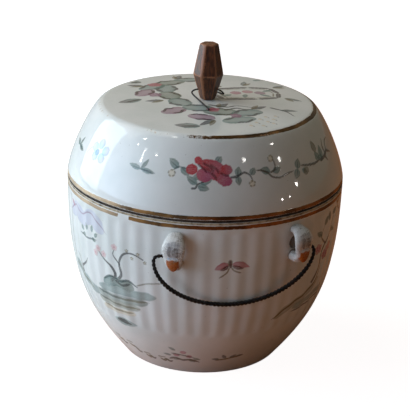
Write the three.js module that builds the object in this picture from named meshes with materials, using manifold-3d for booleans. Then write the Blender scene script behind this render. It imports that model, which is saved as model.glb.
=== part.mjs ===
// A fluted porcelain pot with a domed lid, a six-sided wooden knob tied on with wire, and two wire
// bails that swing in four moulded duck-head lugs. Millimetres, +Z up, the origin at the middle of the
// foot, and the pot's front, with one pair of lugs, towards -Y.
import * as THREE from "three";
import { mergeVertices } from "three/addons/utils/BufferGeometryUtils.js";
import Module from "manifold-3d";

const wasm = await Module();
wasm.setup();

// The pot's outer profile: a flaring lower wall that turns upright at the belly
const bellyRadius = 95;
const footRadius = 56.3;
const rimHeight = 127;
const footFlareRun = 28.8;
const footFlareRise = 36.2;
const bellyFairing = 68;

// The pot's walls, foot and mouth
const potWall = 4.5;
const floorThickness = 5;
const footRingWidth = 5.5;
const footRingHeight = 3;
const edgeEase = 0.6;

// The flutes, upright grooves round the wall between the foot band and the gilt band
const fluteCount = 52;
const fluteDepth = 0.5;
const fluteFoot = 44;
const fluteTopBelowRim = 7;
const fluteFade = 5;

// The lid: a convex shoulder up to an edge ring, a low dome above it, and a flange in the mouth
const lidRise = 49.8;
const ringRadius = 72.4;
const shoulderUpright = 12.2;
const shoulderRoundIn = 7.5;
const shoulderRoundDown = 4.6;
const domeHeight = 2.4;
const lidWall = 4.2;
const flangeDepth = 8;
const flangeWall = 3.5;
const flangeClearance = 1;
const seatGap = 0.3;

// The knob
const knobSides = 6;
const knobFootRadius = 5.2;
const knobBeltRadius = 10.4;
const knobTopRadius = 6.4;
const knobBeltHeight = 17.2;
const knobHeight = 38.6;
const knobTurn = THREE.MathUtils.degToRad(-14.3);

// The tie wire, through a cross hole in the knob and two holes in the lid
const tieWire = 1.1;
const tieClearance = 0.75;
const tieHoleRun = 25.9;
const tieHoleTurn = THREE.MathUtils.degToRad(-11.8);
const tieHeight = 6;
const tieStandOut = 3.6;
const tieBendDrop = 2.6;
const tieLegLift = 0.5;
const tieKneeShare = 0.06;
const tieFoot = 6;

// The lugs, each a loop with a sideways tunnel, whose front is a duck's head with its beak down
const lugTurn = THREE.MathUtils.degToRad(24.6);
const tunnelBelowRim = 25;
const tunnelHeight = 11.6;
const tunnelDepth = 6.6;
const upperRootHalf = 2.9;
const lowerRootHalf = 3.8;
const upperRootWidth = 6.8;
const lowerRootWidth = 4.8;
const rootRun = 4;
const browRound = 1.7;
const headHalf = 2.2;
const headWidth = 7.5;
const headDrop = 6;
const jawRise = 3.6;
const jawWidth = 5.6;
const chinBack = 1.8;
const beakWidth = 5;
const beakRoot = 1.5;
const beakReach = 6.4;
const beakFullness = 1.6;
const beakStandOut = 0.3;

// The bails, wire bows with a hook at each end that lies in the lugs' tunnels
const bailWire = 2.5;
const bailGap = 0.35;
const bailDrop = 34.6;
const bailLowest = -2.2;
const hookTipShort = 1.8;
const longStandOff = 4.3;
const shortStandOff = 2.4;
const longFullness = 1.9;
const shortFullness = 1.7;
const hookRound = 3.4;

// How finely the curves are cut
const roundSides = 72;
const boreSides = 12;
const lugSides = 14;
const bailSides = 8;
const tieSides = 6;
const footSteps = 4;
const fluteSteps = 5;
const innerSteps = 7;
const shoulderSteps = 8;
const underShoulderSteps = 5;
const domeSteps = 3;
const lugSteps = 14;
const beakSteps = 4;
const bowSteps = 8;
const hookSteps = 5;
const bailSteps = 56;
const tieSteps = 48;
const halvings = 40;
const weldDistance = 0.001;

// Half the outer profile from the foot to the rim, a cubic curve
const wallCurve = new THREE.CubicBezierCurve(
  new THREE.Vector2(footRadius, 0),
  new THREE.Vector2(footRadius + footFlareRun, footFlareRise),
  new THREE.Vector2(bellyRadius, rimHeight - bellyFairing),
  new THREE.Vector2(bellyRadius, rimHeight),
);

const fluteTop = rimHeight - fluteTopBelowRim;
const tunnelFloor = rimHeight - tunnelBelowRim;
const lidEdge = rimHeight + seatGap;
const ringHeight = lidEdge + lidRise;
const lidCurve = new THREE.CubicBezierCurve(
  new THREE.Vector2(bellyRadius, lidEdge),
  new THREE.Vector2(bellyRadius, lidEdge + shoulderUpright),
  new THREE.Vector2(ringRadius + shoulderRoundIn, ringHeight - shoulderRoundDown),
  new THREE.Vector2(ringRadius, ringHeight),
);

// The point of a rising profile curve at a height, and its outward direction there
function onCurve(curve, height) {
  let low = 0;
  let high = 1;
  for (let i = 0; i < halvings; i++) {
    const middle = (low + high) / 2;
    if (curve.getPoint(middle).y < height) low = middle;
    else high = middle;
  }
  const tangent = curve.getTangent(low);
  return { point: curve.getPoint(low), outward: new THREE.Vector2(tangent.y, -tangent.x) };
}

const wallRadius = (height) => onCurve(wallCurve, height).point.x;
const domeTop = (radius) => ringHeight + domeHeight * (1 - (radius / ringRadius) ** 2);

// Evenly spaced numbers from one to another, with both ends
function spread(from, to, steps) {
  return Array.from({ length: steps + 1 }, (_, i) => from + ((to - from) * i) / steps);
}

// A body of revolution about +Z from radius and height pairs that start and end on the axis
function turned(profile, sides) {
  const points = profile.map(([radius, height]) => new THREE.Vector2(radius, height));
  return new THREE.LatheGeometry(points, sides).rotateX(Math.PI / 2);
}

function toSolid(geometry) {
  const bare = geometry.clone();
  bare.deleteAttribute("normal");
  bare.deleteAttribute("uv");
  const merged = mergeVertices(bare, weldDistance);
  const vertProperties = new Float32Array(merged.attributes.position.array);
  const triVerts = new Uint32Array(merged.index.array);
  return new wasm.Manifold(new wasm.Mesh({ numProp: 3, vertProperties, triVerts }));
}

function toGeometry(solid) {
  const mesh = solid.getMesh();
  const geometry = new THREE.BufferGeometry();
  geometry.setAttribute("position", new THREE.BufferAttribute(mesh.vertProperties, 3));
  geometry.setIndex(new THREE.BufferAttribute(mesh.triVerts, 1));
  geometry.computeVertexNormals();
  return geometry;
}

// A closed body through rings of equally many points, with a flat fan at each end
function loft(rings) {
  const sides = rings[0].length;
  const positions = rings.flat().flatMap((p) => [p.x, p.y, p.z]);
  const index = [];
  for (let ring = 0; ring + 1 < rings.length; ring++) {
    for (let side = 0; side < sides; side++) {
      const a = ring * sides + side;
      const b = ring * sides + ((side + 1) % sides);
      index.push(a, b, a + sides, b, b + sides, a + sides);
    }
  }
  const last = (rings.length - 1) * sides;
  for (let side = 1; side + 1 < sides; side++) {
    index.push(0, side + 1, side);
    index.push(last, last + side, last + side + 1);
  }
  const geometry = new THREE.BufferGeometry();
  geometry.setAttribute("position", new THREE.Float32BufferAttribute(positions, 3));
  geometry.setIndex(index);
  return geometry;
}

// A round tube along a path
function tube(path, diameter, sides, steps) {
  const section = new THREE.Shape();
  for (let i = 0; i < sides; i++) {
    const angle = (2 * Math.PI * i) / sides;
    const x = (diameter / 2) * Math.cos(angle);
    const y = (diameter / 2) * Math.sin(angle);
    if (i === 0) section.moveTo(x, y);
    else section.lineTo(x, y);
  }
  section.closePath();
  return new THREE.ExtrudeGeometry(section, { steps, extrudePath: path, bevelEnabled: false });
}

// How deep a flute is at a height, from 0 at its ends to 1 along its run
function fluteShare(height) {
  const begun = THREE.MathUtils.smoothstep(height, fluteFoot - fluteFade, fluteFoot);
  const ended = THREE.MathUtils.smoothstep(height, fluteTop - fluteFade, fluteTop);
  return begun * (1 - ended);
}

// The pot: an outer wall with a groove on every second upright edge line
function makePot() {
  const outerHeights = [
    ...spread(edgeEase, fluteFoot - fluteFade, footSteps),
    ...spread(fluteFoot, fluteTop - fluteFade, fluteSteps),
    fluteTop,
    rimHeight - edgeEase,
  ];
  const outer = outerHeights.map((height) => [wallRadius(height), height]);
  const cavityFloor = footRingHeight + floorThickness;
  const inner = spread(cavityFloor, rimHeight, innerSteps).map((height) => {
    const { point, outward } = onCurve(wallCurve, height);
    return [point.x - potWall / outward.x, height];
  });
  const ringInside = footRadius - footRingWidth;
  const profile = [
    [0, footRingHeight],
    [ringInside, footRingHeight],
    [ringInside, 0],
    [footRadius - edgeEase, 0],
    ...outer,
    [bellyRadius - edgeEase, rimHeight],
    ...inner.reverse(),
    [0, cavityFloor],
  ];
  const geometry = turned(profile, fluteCount * 2);
  const position = geometry.attributes.position;
  for (let i = 0; i < position.count; i++) {
    const x = position.getX(i);
    const y = position.getY(i);
    const height = position.getZ(i);
    const radius = Math.hypot(x, y);
    const onOuterWall = height > 0 && radius > wallRadius(height) - potWall / 2;
    const step = Math.round((Math.atan2(x, -y) / Math.PI) * fluteCount);
    if (!onOuterWall || step % 2 === 0) continue;
    const share = 1 - (fluteDepth * fluteShare(height)) / radius;
    position.setXY(i, x * share, y * share);
  }
  return geometry;
}

// The lid's outer profile above its edge, and the shell inside it
function makeLid() {
  const outer = spread(lidEdge + edgeEase, ringHeight, shoulderSteps).map((height) => [
    onCurve(lidCurve, height).point.x,
    height,
  ]);
  const dome = spread(ringRadius, 0, domeSteps)
    .slice(1)
    .map((radius) => [radius, domeTop(radius)]);
  const underDome = dome.map(([radius, height]) => [radius, height - lidWall]).reverse();
  const inner = spread(lidEdge + lidWall, ringHeight - lidWall, underShoulderSteps).map((height) => {
    const { point, outward } = onCurve(lidCurve, height);
    return [point.x - lidWall / outward.x, height];
  });
  const mouth = bellyRadius - potWall;
  const flangeOutside = mouth - flangeClearance;
  const flangeInside = flangeOutside - flangeWall;
  const profile = [
    [0, domeTop(0) - lidWall],
    ...underDome.slice(1, -1),
    ...inner.reverse(),
    [flangeInside, lidEdge],
    [flangeInside, lidEdge - flangeDepth],
    [flangeOutside, lidEdge - flangeDepth],
    [flangeOutside, lidEdge],
    [bellyRadius - edgeEase, lidEdge],
    ...outer,
    ...dome,
  ];
  let solid = toSolid(turned(profile, roundSides));
  for (const side of [1, -1]) {
    const hole = new THREE.CylinderGeometry(tieBore, tieBore, lidWall * 3, boreSides);
    hole.rotateX(Math.PI / 2);
    hole.translate(side * tieHole.x, side * tieHole.y, domeTop(tieHoleRun) - lidWall / 2);
    solid = solid.subtract(toSolid(hole));
  }
  return toGeometry(solid);
}

// A place round the pot: the angle is 0 at the front and grows towards +X
function around(radius, angle, height) {
  return new THREE.Vector3(radius * Math.sin(angle), -radius * Math.cos(angle), height);
}

const tieHole = around(tieHoleRun, tieHoleTurn, 0);
const tieBore = tieWire / 2 + tieClearance;
const knobBase = domeTop(0) + seatGap;
const tieRadiusInKnob =
  knobFootRadius + ((knobBeltRadius - knobFootRadius) * tieHeight) / knobBeltHeight;

function makeKnob() {
  const profile = [
    [0, 0],
    [knobFootRadius, 0],
    [knobBeltRadius, knobBeltHeight],
    [knobTopRadius, knobHeight],
    [0, knobHeight],
  ];
  const body = turned(profile, knobSides).rotateZ(Math.PI / knobSides);
  const bore = new THREE.CylinderGeometry(tieBore, tieBore, knobBeltRadius * 3, boreSides);
  bore.rotateZ(Math.PI / 2).translate(0, 0, tieHeight);
  return toGeometry(toSolid(body).subtract(toSolid(bore)));
}

// The wire's path: a foot under the lid, up the front hole, across to the knob's left side, through
// it, and the same again, turned half round, to the back hole
function makeTieWire() {
  const acrossKnob = around(1, knobTurn + Math.PI / 2, 0);
  const wireHeight = knobBase + tieHeight;
  const top = domeTop(tieHoleRun);
  const under = top - lidWall - tieWire;
  const inwards = tieHole.clone().normalize().negate();
  const bend = acrossKnob.clone().multiplyScalar(-(tieRadiusInKnob + tieStandOut));
  const half = [
    tieHole.clone().addScaledVector(inwards, tieFoot).setZ(under - tieWire),
    tieHole.clone().addScaledVector(inwards, tieFoot / 4).setZ(under - tieWire / 2),
    tieHole.clone().setZ(under + tieWire),
    tieHole.clone().setZ(top),
    tieHole.clone().lerp(bend, tieKneeShare).setZ(top + tieWire / 2 + tieLegLift),
    tieHole.clone().lerp(bend, 0.5).setZ((top + wireHeight - tieBendDrop + tieLegLift) / 2),
    bend.clone().setZ(wireHeight - tieBendDrop),
    acrossKnob.clone().multiplyScalar(-(tieRadiusInKnob + tieStandOut / 3)).setZ(wireHeight),
    acrossKnob.clone().multiplyScalar(-tieRadiusInKnob / 2).setZ(wireHeight),
  ];
  const otherHalf = half.map((p) => new THREE.Vector3(-p.x, -p.y, p.z)).reverse();
  const path = new THREE.CatmullRomCurve3([...half, ...otherHalf], false, "centripetal");
  return tube(path, tieWire, tieSides, tieSteps);
}

// One ring of a lug's loft: an oval across the line that runs through the loop's middle
function lugRing(out, up, halfWidth, halfThickness, lean) {
  return Array.from({ length: lugSides }, (_, i) => {
    const angle = (2 * Math.PI * i) / lugSides;
    const across = halfWidth * Math.cos(angle);
    const depth = halfThickness * Math.sin(angle);
    return new THREE.Vector3(
      across,
      -(wallRadius(tunnelFloor) + out + depth * Math.cos(lean)),
      up + depth * Math.sin(lean),
    );
  });
}

// A lug facing the front, cut to sit on the pot's wall
function makeLug() {
  const upper = tunnelFloor + tunnelHeight + upperRootHalf;
  const lower = tunnelFloor - lowerRootHalf;
  const head = tunnelDepth + headHalf;
  // Each station: how far out, how high, half width across, half thickness
  const stations = [
    [-rootRun, upper - upperRootHalf / 2, upperRootWidth, upperRootHalf],
    [0, upper, upperRootWidth, upperRootHalf],
    [tunnelDepth / 2, upper, upperRootWidth, upperRootHalf],
    [head - browRound, upper - browRound, headWidth, upperRootHalf],
    [head, upper - headDrop, headWidth, headHalf],
    [head, tunnelFloor + jawRise, (headWidth + jawWidth) / 2, headHalf],
    [head, tunnelFloor, jawWidth, headHalf],
    [tunnelDepth - chinBack, lower, lowerRootWidth, lowerRootHalf],
    [0, lower, lowerRootWidth, lowerRootHalf],
    [-rootRun, lower, lowerRootWidth, lowerRootHalf],
  ];
  const line = new THREE.CatmullRomCurve3(stations.map(([out, up]) => new THREE.Vector3(out, up, 0)));
  const sizes = new THREE.CatmullRomCurve3(
    stations.map(([, , width, thickness]) => new THREE.Vector3(width, thickness, 0)),
  );
  const rings = spread(0, 1, lugSteps).map((t) => {
    const middle = line.getPoint(t);
    const size = sizes.getPoint(t);
    const run = line.getTangent(t);
    return lugRing(middle.x, middle.y, size.x, size.y, Math.atan2(run.x, -run.y));
  });
  // The beak narrows along its length to a rounded tip
  const tipSpare = 1 / (4 * beakSteps);
  const beak = spread(0, 1 - tipSpare, beakSteps).map((share) => {
    const narrowing = Math.sqrt(1 - share ** beakFullness);
    const up = tunnelFloor + beakRoot - share * (beakReach + beakRoot);
    return lugRing(head + beakStandOut, up, beakWidth * narrowing, headHalf * narrowing, 0);
  });
  const seatHeights = spread(lower - lowerRootHalf * 3, upper + upperRootHalf * 3, innerSteps);
  const seat = [
    [0, seatHeights[0]],
    ...seatHeights.map((height) => [wallRadius(height) + seatGap, height]),
    [0, seatHeights.at(-1)],
  ];
  const solid = toSolid(loft(rings))
    .add(toSolid(loft(beak)))
    .subtract(toSolid(turned(seat, fluteCount * 4)));
  return toGeometry(solid);
}

// Where the bail's hooks end and its two sides hang, out to each side of the front
const tunnelMiddle = (wallRadius(tunnelFloor) + tunnelDepth / 2) * Math.sin(lugTurn);
const hookTip = tunnelMiddle + hookTipShort;
const lugSide =
  (wallRadius(tunnelFloor) + tunnelDepth + headHalf) * Math.sin(lugTurn) +
  headWidth * Math.cos(lugTurn);
const longReach = lugSide + longStandOff;
const shortReach = lugSide + shortStandOff;

// The bail's hinge line lies across both tunnels, clear of the wall at the hooks' tips
const hingeHeight = tunnelFloor + bailWire / 2 + bailGap;
const tipClear = wallRadius(hingeHeight) + bailWire / 2 + bailGap;
const hingeOut = (tipClear - hookTip * Math.sin(lugTurn)) / Math.cos(lugTurn);

// Where the bow hangs at rest: leaning on the belly, a little outwards of upright
const restHeight = hingeHeight - bailDrop;
const restOut = wallRadius(restHeight) + bailWire / 2 + bailGap;
const bailLean = Math.asin((restOut - hingeOut) / bailDrop);

// The front bail at rest, with the hinge line along X
function makeBail() {
  const place = (x, drop) =>
    new THREE.Vector3(
      x,
      -(hingeOut + drop * Math.sin(bailLean)),
      hingeHeight - drop * Math.cos(bailLean),
    );
  const bow = (reach, fullness, share) => {
    const fall = Math.sin((share * Math.PI) / 2);
    const x = bailLowest + (reach - bailLowest) * Math.sqrt(1 - fall ** fullness);
    return place(x, hookRound + (bailDrop - hookRound) * fall);
  };
  const corner = (reach, share) => {
    const angle = (share * Math.PI) / 2;
    const inwards = hookRound * (1 - Math.sin(angle));
    return place(reach - Math.sign(reach) * inwards, hookRound * (1 - Math.cos(angle)));
  };
  const points = [
    place(-hookTip, 0),
    ...spread(0, 1, hookSteps).slice(0, -1).map((share) => corner(-longReach, share)),
    ...spread(0, 1, bowSteps).map((share) => bow(-longReach, longFullness, share)),
    ...spread(1, 0, bowSteps).slice(1).map((share) => bow(shortReach, shortFullness, share)),
    ...spread(1, 0, hookSteps).slice(1).map((share) => corner(shortReach, share)),
    place(hookTip, 0),
  ];
  const path = new THREE.CatmullRomCurve3(points, false, "centripetal");
  return tube(path, bailWire, bailSides, bailSteps);
}

// The finishes
const porcelain = new THREE.MeshStandardMaterial({ color: 0xc9cdcb, roughness: 0.12, metalness: 0 });
const slip = new THREE.MeshStandardMaterial({ color: 0xd8d6d2, roughness: 0.35, metalness: 0 });
const walnut = new THREE.MeshStandardMaterial({ color: 0x4a2c1b, roughness: 0.45, metalness: 0 });
const iron = new THREE.MeshStandardMaterial({ color: 0x1f1c1a, roughness: 0.6, metalness: 0.8 });

const pot = new THREE.Group();

function place(name, geometry, material, turn = 0, height = 0) {
  const mesh = new THREE.Mesh(geometry, material);
  mesh.name = name;
  mesh.rotation.z = turn;
  mesh.position.z = height;
  pot.add(mesh);
}

place("pot_body", makePot(), porcelain);
place("lid", makeLid(), porcelain);
place("knob", makeKnob(), walnut, knobTurn, knobBase);
place("knob_tie_wire", makeTieWire(), iron);

const lug = makeLug();
place("front_left_lug", lug, slip, -lugTurn);
place("front_right_lug", lug, slip, lugTurn);
place("back_left_lug", lug, slip, Math.PI - lugTurn);
place("back_right_lug", lug, slip, Math.PI + lugTurn);

const bail = makeBail();
place("front_bail", bail, iron);
place("back_bail", bail, iron, Math.PI);

export default pot;
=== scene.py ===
"""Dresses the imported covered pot: fluted porcelain, enamel painting, gilding, wood and twisted wire."""

from __future__ import annotations

import logging
from collections.abc import Callable, Sequence
from dataclasses import dataclass, field
from enum import Enum
from math import asin, atan2, cos, exp, radians, sin, sqrt

import bpy
import numpy as np
from bpy.types import Material, Node, Object
from bpy.types import NodeSocket as Socket
from bpy.types import NodeTree as Tree
from mathutils import Matrix, Vector


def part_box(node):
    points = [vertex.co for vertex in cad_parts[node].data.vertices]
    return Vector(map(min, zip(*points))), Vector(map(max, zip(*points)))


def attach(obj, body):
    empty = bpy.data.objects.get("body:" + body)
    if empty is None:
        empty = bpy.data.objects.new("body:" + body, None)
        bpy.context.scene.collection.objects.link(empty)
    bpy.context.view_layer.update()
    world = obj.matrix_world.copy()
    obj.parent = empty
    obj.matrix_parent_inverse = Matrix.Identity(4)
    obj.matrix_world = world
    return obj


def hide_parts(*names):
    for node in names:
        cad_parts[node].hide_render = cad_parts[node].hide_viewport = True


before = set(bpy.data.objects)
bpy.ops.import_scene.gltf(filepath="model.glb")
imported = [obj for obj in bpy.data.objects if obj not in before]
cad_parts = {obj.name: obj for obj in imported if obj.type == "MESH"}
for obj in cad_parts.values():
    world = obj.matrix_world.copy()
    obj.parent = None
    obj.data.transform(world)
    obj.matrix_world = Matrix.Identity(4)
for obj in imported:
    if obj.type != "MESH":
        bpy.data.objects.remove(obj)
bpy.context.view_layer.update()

LOG = logging.getLogger("covered_pot")
MM = 0.001
Array = np.ndarray
Point = tuple[float, float]
Triple = tuple[float, float, float]
Faces = list[tuple[int, ...]]


def linear(red: int, green: int, blue: int) -> Triple:
    """Turns a display colour of 0 to 255 into scene-linear light.

    Args:
        red: The red share.
        green: The green share.
        blue: The blue share.

    Returns:
        The three linear shares.
    """
    shares = (red / 255, green / 255, blue / 255)
    return tuple(((s + 0.055) / 1.055) ** 2.4 if s > 0.04045 else s / 12.92 for s in shares)


def smooth(low: float, high: float, value: Array) -> Array:
    """Rises softly from 0 at low to 1 at high.

    Args:
        low: Where the rise begins.
        high: Where it ends.
        value: The numbers to map.

    Returns:
        The shares.
    """
    share = np.clip((value - low) / (high - low), 0, 1)
    return share * share * (3 - 2 * share)


def ripple(seed: float, *values: Array) -> Array:
    """A smooth unevenness between about -1 and 1, the same on every run.

    Args:
        seed: Which unevenness.
        values: Coordinates, already scaled to its grain.

    Returns:
        The unevenness at each place.
    """
    total = 0.0
    for step, value in enumerate(values):
        broad = np.sin(value * 1.7 + seed * 3.1 + step)
        total = total + broad + 0.6 * np.sin(value * 3.9 - seed * 1.3 + 2 * total)
    return total / (1.4 * len(values))


def around(count: int) -> Array:
    """Evenly spaced angles round a full turn."""
    return np.linspace(0, 2 * np.pi, count, endpoint=False)


def ring(radius: float | Array, height: float | Array, angles: float | Array) -> Array:
    """Places in metres from radii and heights in mm, at angles from the front that grow to the right."""
    places = np.broadcast_arrays(radius * np.sin(angles), -radius * np.cos(angles), height)
    return np.stack(places, -1) * MM


def lengths(chain: Array) -> Array:
    """How far along a chain of points each of them lies."""
    return np.concatenate([[0], np.cumsum(np.linalg.norm(np.diff(chain, axis=0), axis=1))])


def chained(knots: Sequence[Sequence[float]], steps: int) -> Array:
    """A smooth chain through knots of any dimension.

    Args:
        knots: The points that it passes.
        steps: How many points each stretch between two knots gets.

    Returns:
        Its points, with the last knot at the end.
    """
    k = np.array(knots, float)
    ends = np.vstack([2 * k[0] - k[1], k, 2 * k[-1] - k[-2]])
    t = np.linspace(0, 1, steps, endpoint=False)[:, None]
    runs = []
    for a, b, c, d in zip(ends, ends[1:], ends[2:], ends[3:]):
        square, cube = 2 * a - 5 * b + 4 * c - d, 3 * b - a - 3 * c + d
        runs.append(0.5 * (2 * b + (c - a) * t + square * t**2 + cube * t**3))
    return np.vstack([*runs, k[-1:]])


@dataclass(frozen=True)
class Curve:
    """A rising cubic profile of radius and height, in mm.

    Attributes:
        corners: Its four control points.
    """

    corners: tuple[Point, Point, Point, Point]

    def _table(self) -> tuple[Array, Array]:
        """Many points along the curve: radii and heights."""
        t = np.linspace(0, 1, 600)
        weights = ((1 - t) ** 3, 3 * t * (1 - t) ** 2, 3 * t * t * (1 - t), t**3)
        radius = sum(w * corner[0] for w, corner in zip(weights, self.corners))
        height = sum(w * corner[1] for w, corner in zip(weights, self.corners))
        return radius, height

    def radius(self, height: Array) -> Array:
        """The radius at each height."""
        radii, heights = self._table()
        return np.interp(height, heights, radii)

    def outward(self, height: Array) -> tuple[Array, Array]:
        """The outward direction at each height: its radial and its upward share."""
        radii, heights = self._table()
        slope = np.interp(height, heights, np.gradient(radii) / np.gradient(heights))
        length = np.sqrt(1 + slope**2)
        return 1 / length, -slope / length


def box_mm(node: str) -> tuple[Vector, Vector]:
    """A CAD node's lowest and highest corners in mm."""
    low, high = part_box(node)
    return Vector(low) / MM, Vector(high) / MM


BELLY = box_mm("lid")[1].x
RIM = box_mm("pot_body")[1].z
SEAT = 0.3
LID_EDGE = RIM + SEAT
RING_RADIUS = 72.4
DOME_HEIGHT = 2.4
RING_HEIGHT = box_mm("lid")[1].z - DOME_HEIGHT
FOOT = 56.3
EASE = 0.6
FRONT_TURN = -14.3
TUNNEL = RIM - 25.0
LUG_TURN = 24.6


@dataclass(frozen=True)
class PotWall:
    """The pot's outside, fluted between its foot band and its gilt band.

    Attributes:
        profile: Its profile from foot to rim.
        flutes: How many grooves run round it.
        depth: How deep they are.
        foot: The height at which they begin.
        top: The height at which they end.
        fade: The height over which they begin and end.
    """

    profile: Curve = Curve(((FOOT, 0), (FOOT + 28.8, 36.2), (BELLY, RIM - 68), (BELLY, RIM)))
    flutes: int = 52
    depth: float = 0.5
    foot: float = 44.0
    top: float = 121.5
    fade: float = 5.0

    def groove(self, angle: Array, height: Array) -> Array:
        """How far the surface lies under the plain profile."""
        share = smooth(self.foot - self.fade, self.foot, height)
        share = share * (1 - smooth(self.top - self.fade, self.top, height))
        return self.depth * share * (0.5 - 0.5 * np.cos(angle * self.flutes))

    def at(self, angle: Array, height: Array, lift: Array) -> Array:
        """Places on the wall.

        Args:
            angle: Radians from the front, growing to the right.
            height: Height in mm.
            lift: How far above the surface, in mm.

        Returns:
            One row of metres for each place.
        """
        out, up = self.profile.outward(height)
        radius = self.profile.radius(height) - self.groove(angle, height) + lift * out
        return ring(radius, height + lift * up, angle)

    def spread(self, place: Point, across: Array, up: Array) -> tuple[Array, Array]:
        """Turns mm across and up from a place of degrees and height into angles and heights."""
        out, _ = self.profile.outward(place[1])
        return radians(place[0]) + across / self.profile.radius(place[1]), place[1] + up * out

    def painted(self, angle: Array, height: Array) -> Array:
        """How much paint a place keeps: all of it below the gilding."""
        top = self.profile.corners[-1][1]
        return 1 - smooth(top - 5.8, top - 4.8, height)


@dataclass(frozen=True)
class LidShoulder(PotWall):
    """The lid's convex shoulder, without flutes."""

    profile: Curve = Curve((
        (BELLY, LID_EDGE),
        (BELLY, LID_EDGE + 12.2),
        (RING_RADIUS + 7.5, RING_HEIGHT - 4.6),
        (RING_RADIUS, RING_HEIGHT),
    ))
    depth: float = 0.0


@dataclass(frozen=True)
class LidTop:
    """The lid's low dome inside its edge ring."""

    def height(self, radius: Array) -> Array:
        """The dome's height at a radius, in mm."""
        return RING_HEIGHT + DOME_HEIGHT * (1 - (radius / RING_RADIUS) ** 2)

    def at(self, x: Array, y: Array, lift: Array) -> Array:
        """Places on the dome, from mm to metres."""
        return np.stack([x, y, self.height(np.hypot(x, y)) + lift], -1) * MM

    def spread(self, place: Point, across: Array, up: Array) -> tuple[Array, Array]:
        """Turns mm across and away from a place into x and y."""
        return place[0] + across, place[1] + up

    def painted(self, x: Array, y: Array) -> Array:
        """How much paint a place keeps: none at the edge ring."""
        return 1 - smooth(RING_RADIUS - 4.5, RING_RADIUS - 3.5, np.hypot(x, y))


Surface = PotWall | LidTop


class Tint(Enum):
    """The enamel colours, as they look on white porcelain."""

    RED = linear(188, 66, 72)
    WINE = linear(78, 18, 30)
    ROSE = linear(184, 96, 110)
    PINK = linear(174, 84, 112)
    BLUSH = linear(222, 186, 184)
    MAUVE = linear(144, 96, 122)
    LAVENDER = linear(176, 176, 214)
    SKY = linear(140, 190, 232)
    BLUE = linear(78, 138, 214)
    TEAL = linear(86, 122, 116)
    DEEP_TEAL = linear(44, 70, 70)
    LEAF = linear(92, 112, 96)
    MOSS = linear(136, 136, 108)
    OLIVE = linear(112, 100, 62)
    UMBER = linear(70, 54, 30)
    SAND = linear(222, 204, 170)
    GREY = linear(132, 130, 136)
    SLATE = linear(66, 62, 68)
    INK = linear(20, 16, 18)


class Brush(Enum):
    """The shapes that a brush leaves: its width along the stroke, and its soft edge in mm."""

    LINE = (lambda t: np.minimum(1, np.sqrt(np.minimum(8 * t, 5 * (1 - t)))), 0.35)
    TWIG = (lambda t: np.minimum(1, 1.25 - 0.9 * t), 0.35)
    LEAF = (lambda t: np.sin(np.pi * np.clip(t, 0, 1) ** 0.8) ** 0.85, 0.45)
    PETAL = (lambda t: np.sin(np.pi * np.clip(t, 0, 1) ** 1.5) ** 0.6, 0.5)
    DAB = (lambda t: np.sqrt(np.clip(1 - (2 * t - 1) ** 2, 0, 1)), 0.6)
    WASH = (lambda t: np.minimum(1, np.sqrt(np.minimum(9 * t, 9 * (1 - t)))), 1.6)

    @property
    def width(self) -> Callable[[Array], Array]:
        """Its share of full width along the stroke."""
        return self.value[0]

    @property
    def edge(self) -> float:
        """How soft its edge is."""
        return self.value[1]


@dataclass(frozen=True)
class Stroke:
    """One stroke of enamel.

    Attributes:
        brush: Its shape.
        points: Where it runs, in mm across and up from its motif's place.
        width: Its full width in mm.
        tint: Its colour at the start.
        tip: Its colour at the end, or None for the same.
        strength: How well it covers.
        rim: How much darker its edge is than its middle.
    """

    brush: Brush
    points: Sequence[Point]
    width: float
    tint: Tint
    tip: Tint | None = None
    strength: float = 0.9
    rim: float = 0.25

    def spine(self) -> Array:
        """The stroke's middle line as a smooth chain of points."""
        return chained(self.points, 8)

    def cover(self, spots: Array, seed: float) -> tuple[Array, Array]:
        """What the stroke leaves at each spot.

        Args:
            spots: Rows of mm across and up.
            seed: Which brush unevenness it has.

        Returns:
            The coverage and the colour at each spot.
        """
        spine = self.spine()
        start, run = spine[:-1], np.diff(spine, axis=0)
        length = np.maximum(np.hypot(run[:, 0], run[:, 1]), 1e-6)
        away = spots[:, None] - start[None]
        along = np.clip((away * run).sum(-1) / length**2, 0, 1)
        gap = away - along[..., None] * run
        distance = np.hypot(gap[..., 0], gap[..., 1])
        near = distance.argmin(1)
        rows = np.arange(len(spots))
        travelled = np.concatenate([[0], np.cumsum(length)])
        t = (travelled[near] + along[rows, near] * length[near]) / travelled[-1]
        side = np.sign(run[near, 0] * gap[rows, near, 1] - run[near, 1] * gap[rows, near, 0])
        offset = distance[rows, near]
        half = (self.width / 2 + 0.15) * self.brush.width(t) * (1 + 0.12 * ripple(seed, t * 9, side))
        edge = min(self.brush.edge, self.width * 0.6)
        cover = 1 - smooth(-edge / 2, edge / 2, offset - half + edge * 0.2)
        streak = ripple(seed + 5, side * offset * 2.6, t * 2.5)
        inside = np.clip(offset / np.maximum(half, 0.05), 0, 1)
        full = self.strength**0.7 * (0.94 + 0.12 * streak + self.rim * (inside**2 - 0.4))
        cover = cover * np.clip(full, 0, 1)
        first, last = np.array(self.tint.value), np.array((self.tip or self.tint).value)
        colour = first + (last - first) * smooth(0.1, 0.9, t)[:, None]
        colour = colour * (1 - 0.45 * self.rim * inside[:, None] ** 3) * (1 + 0.08 * streak[:, None])
        return cover, colour


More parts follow.
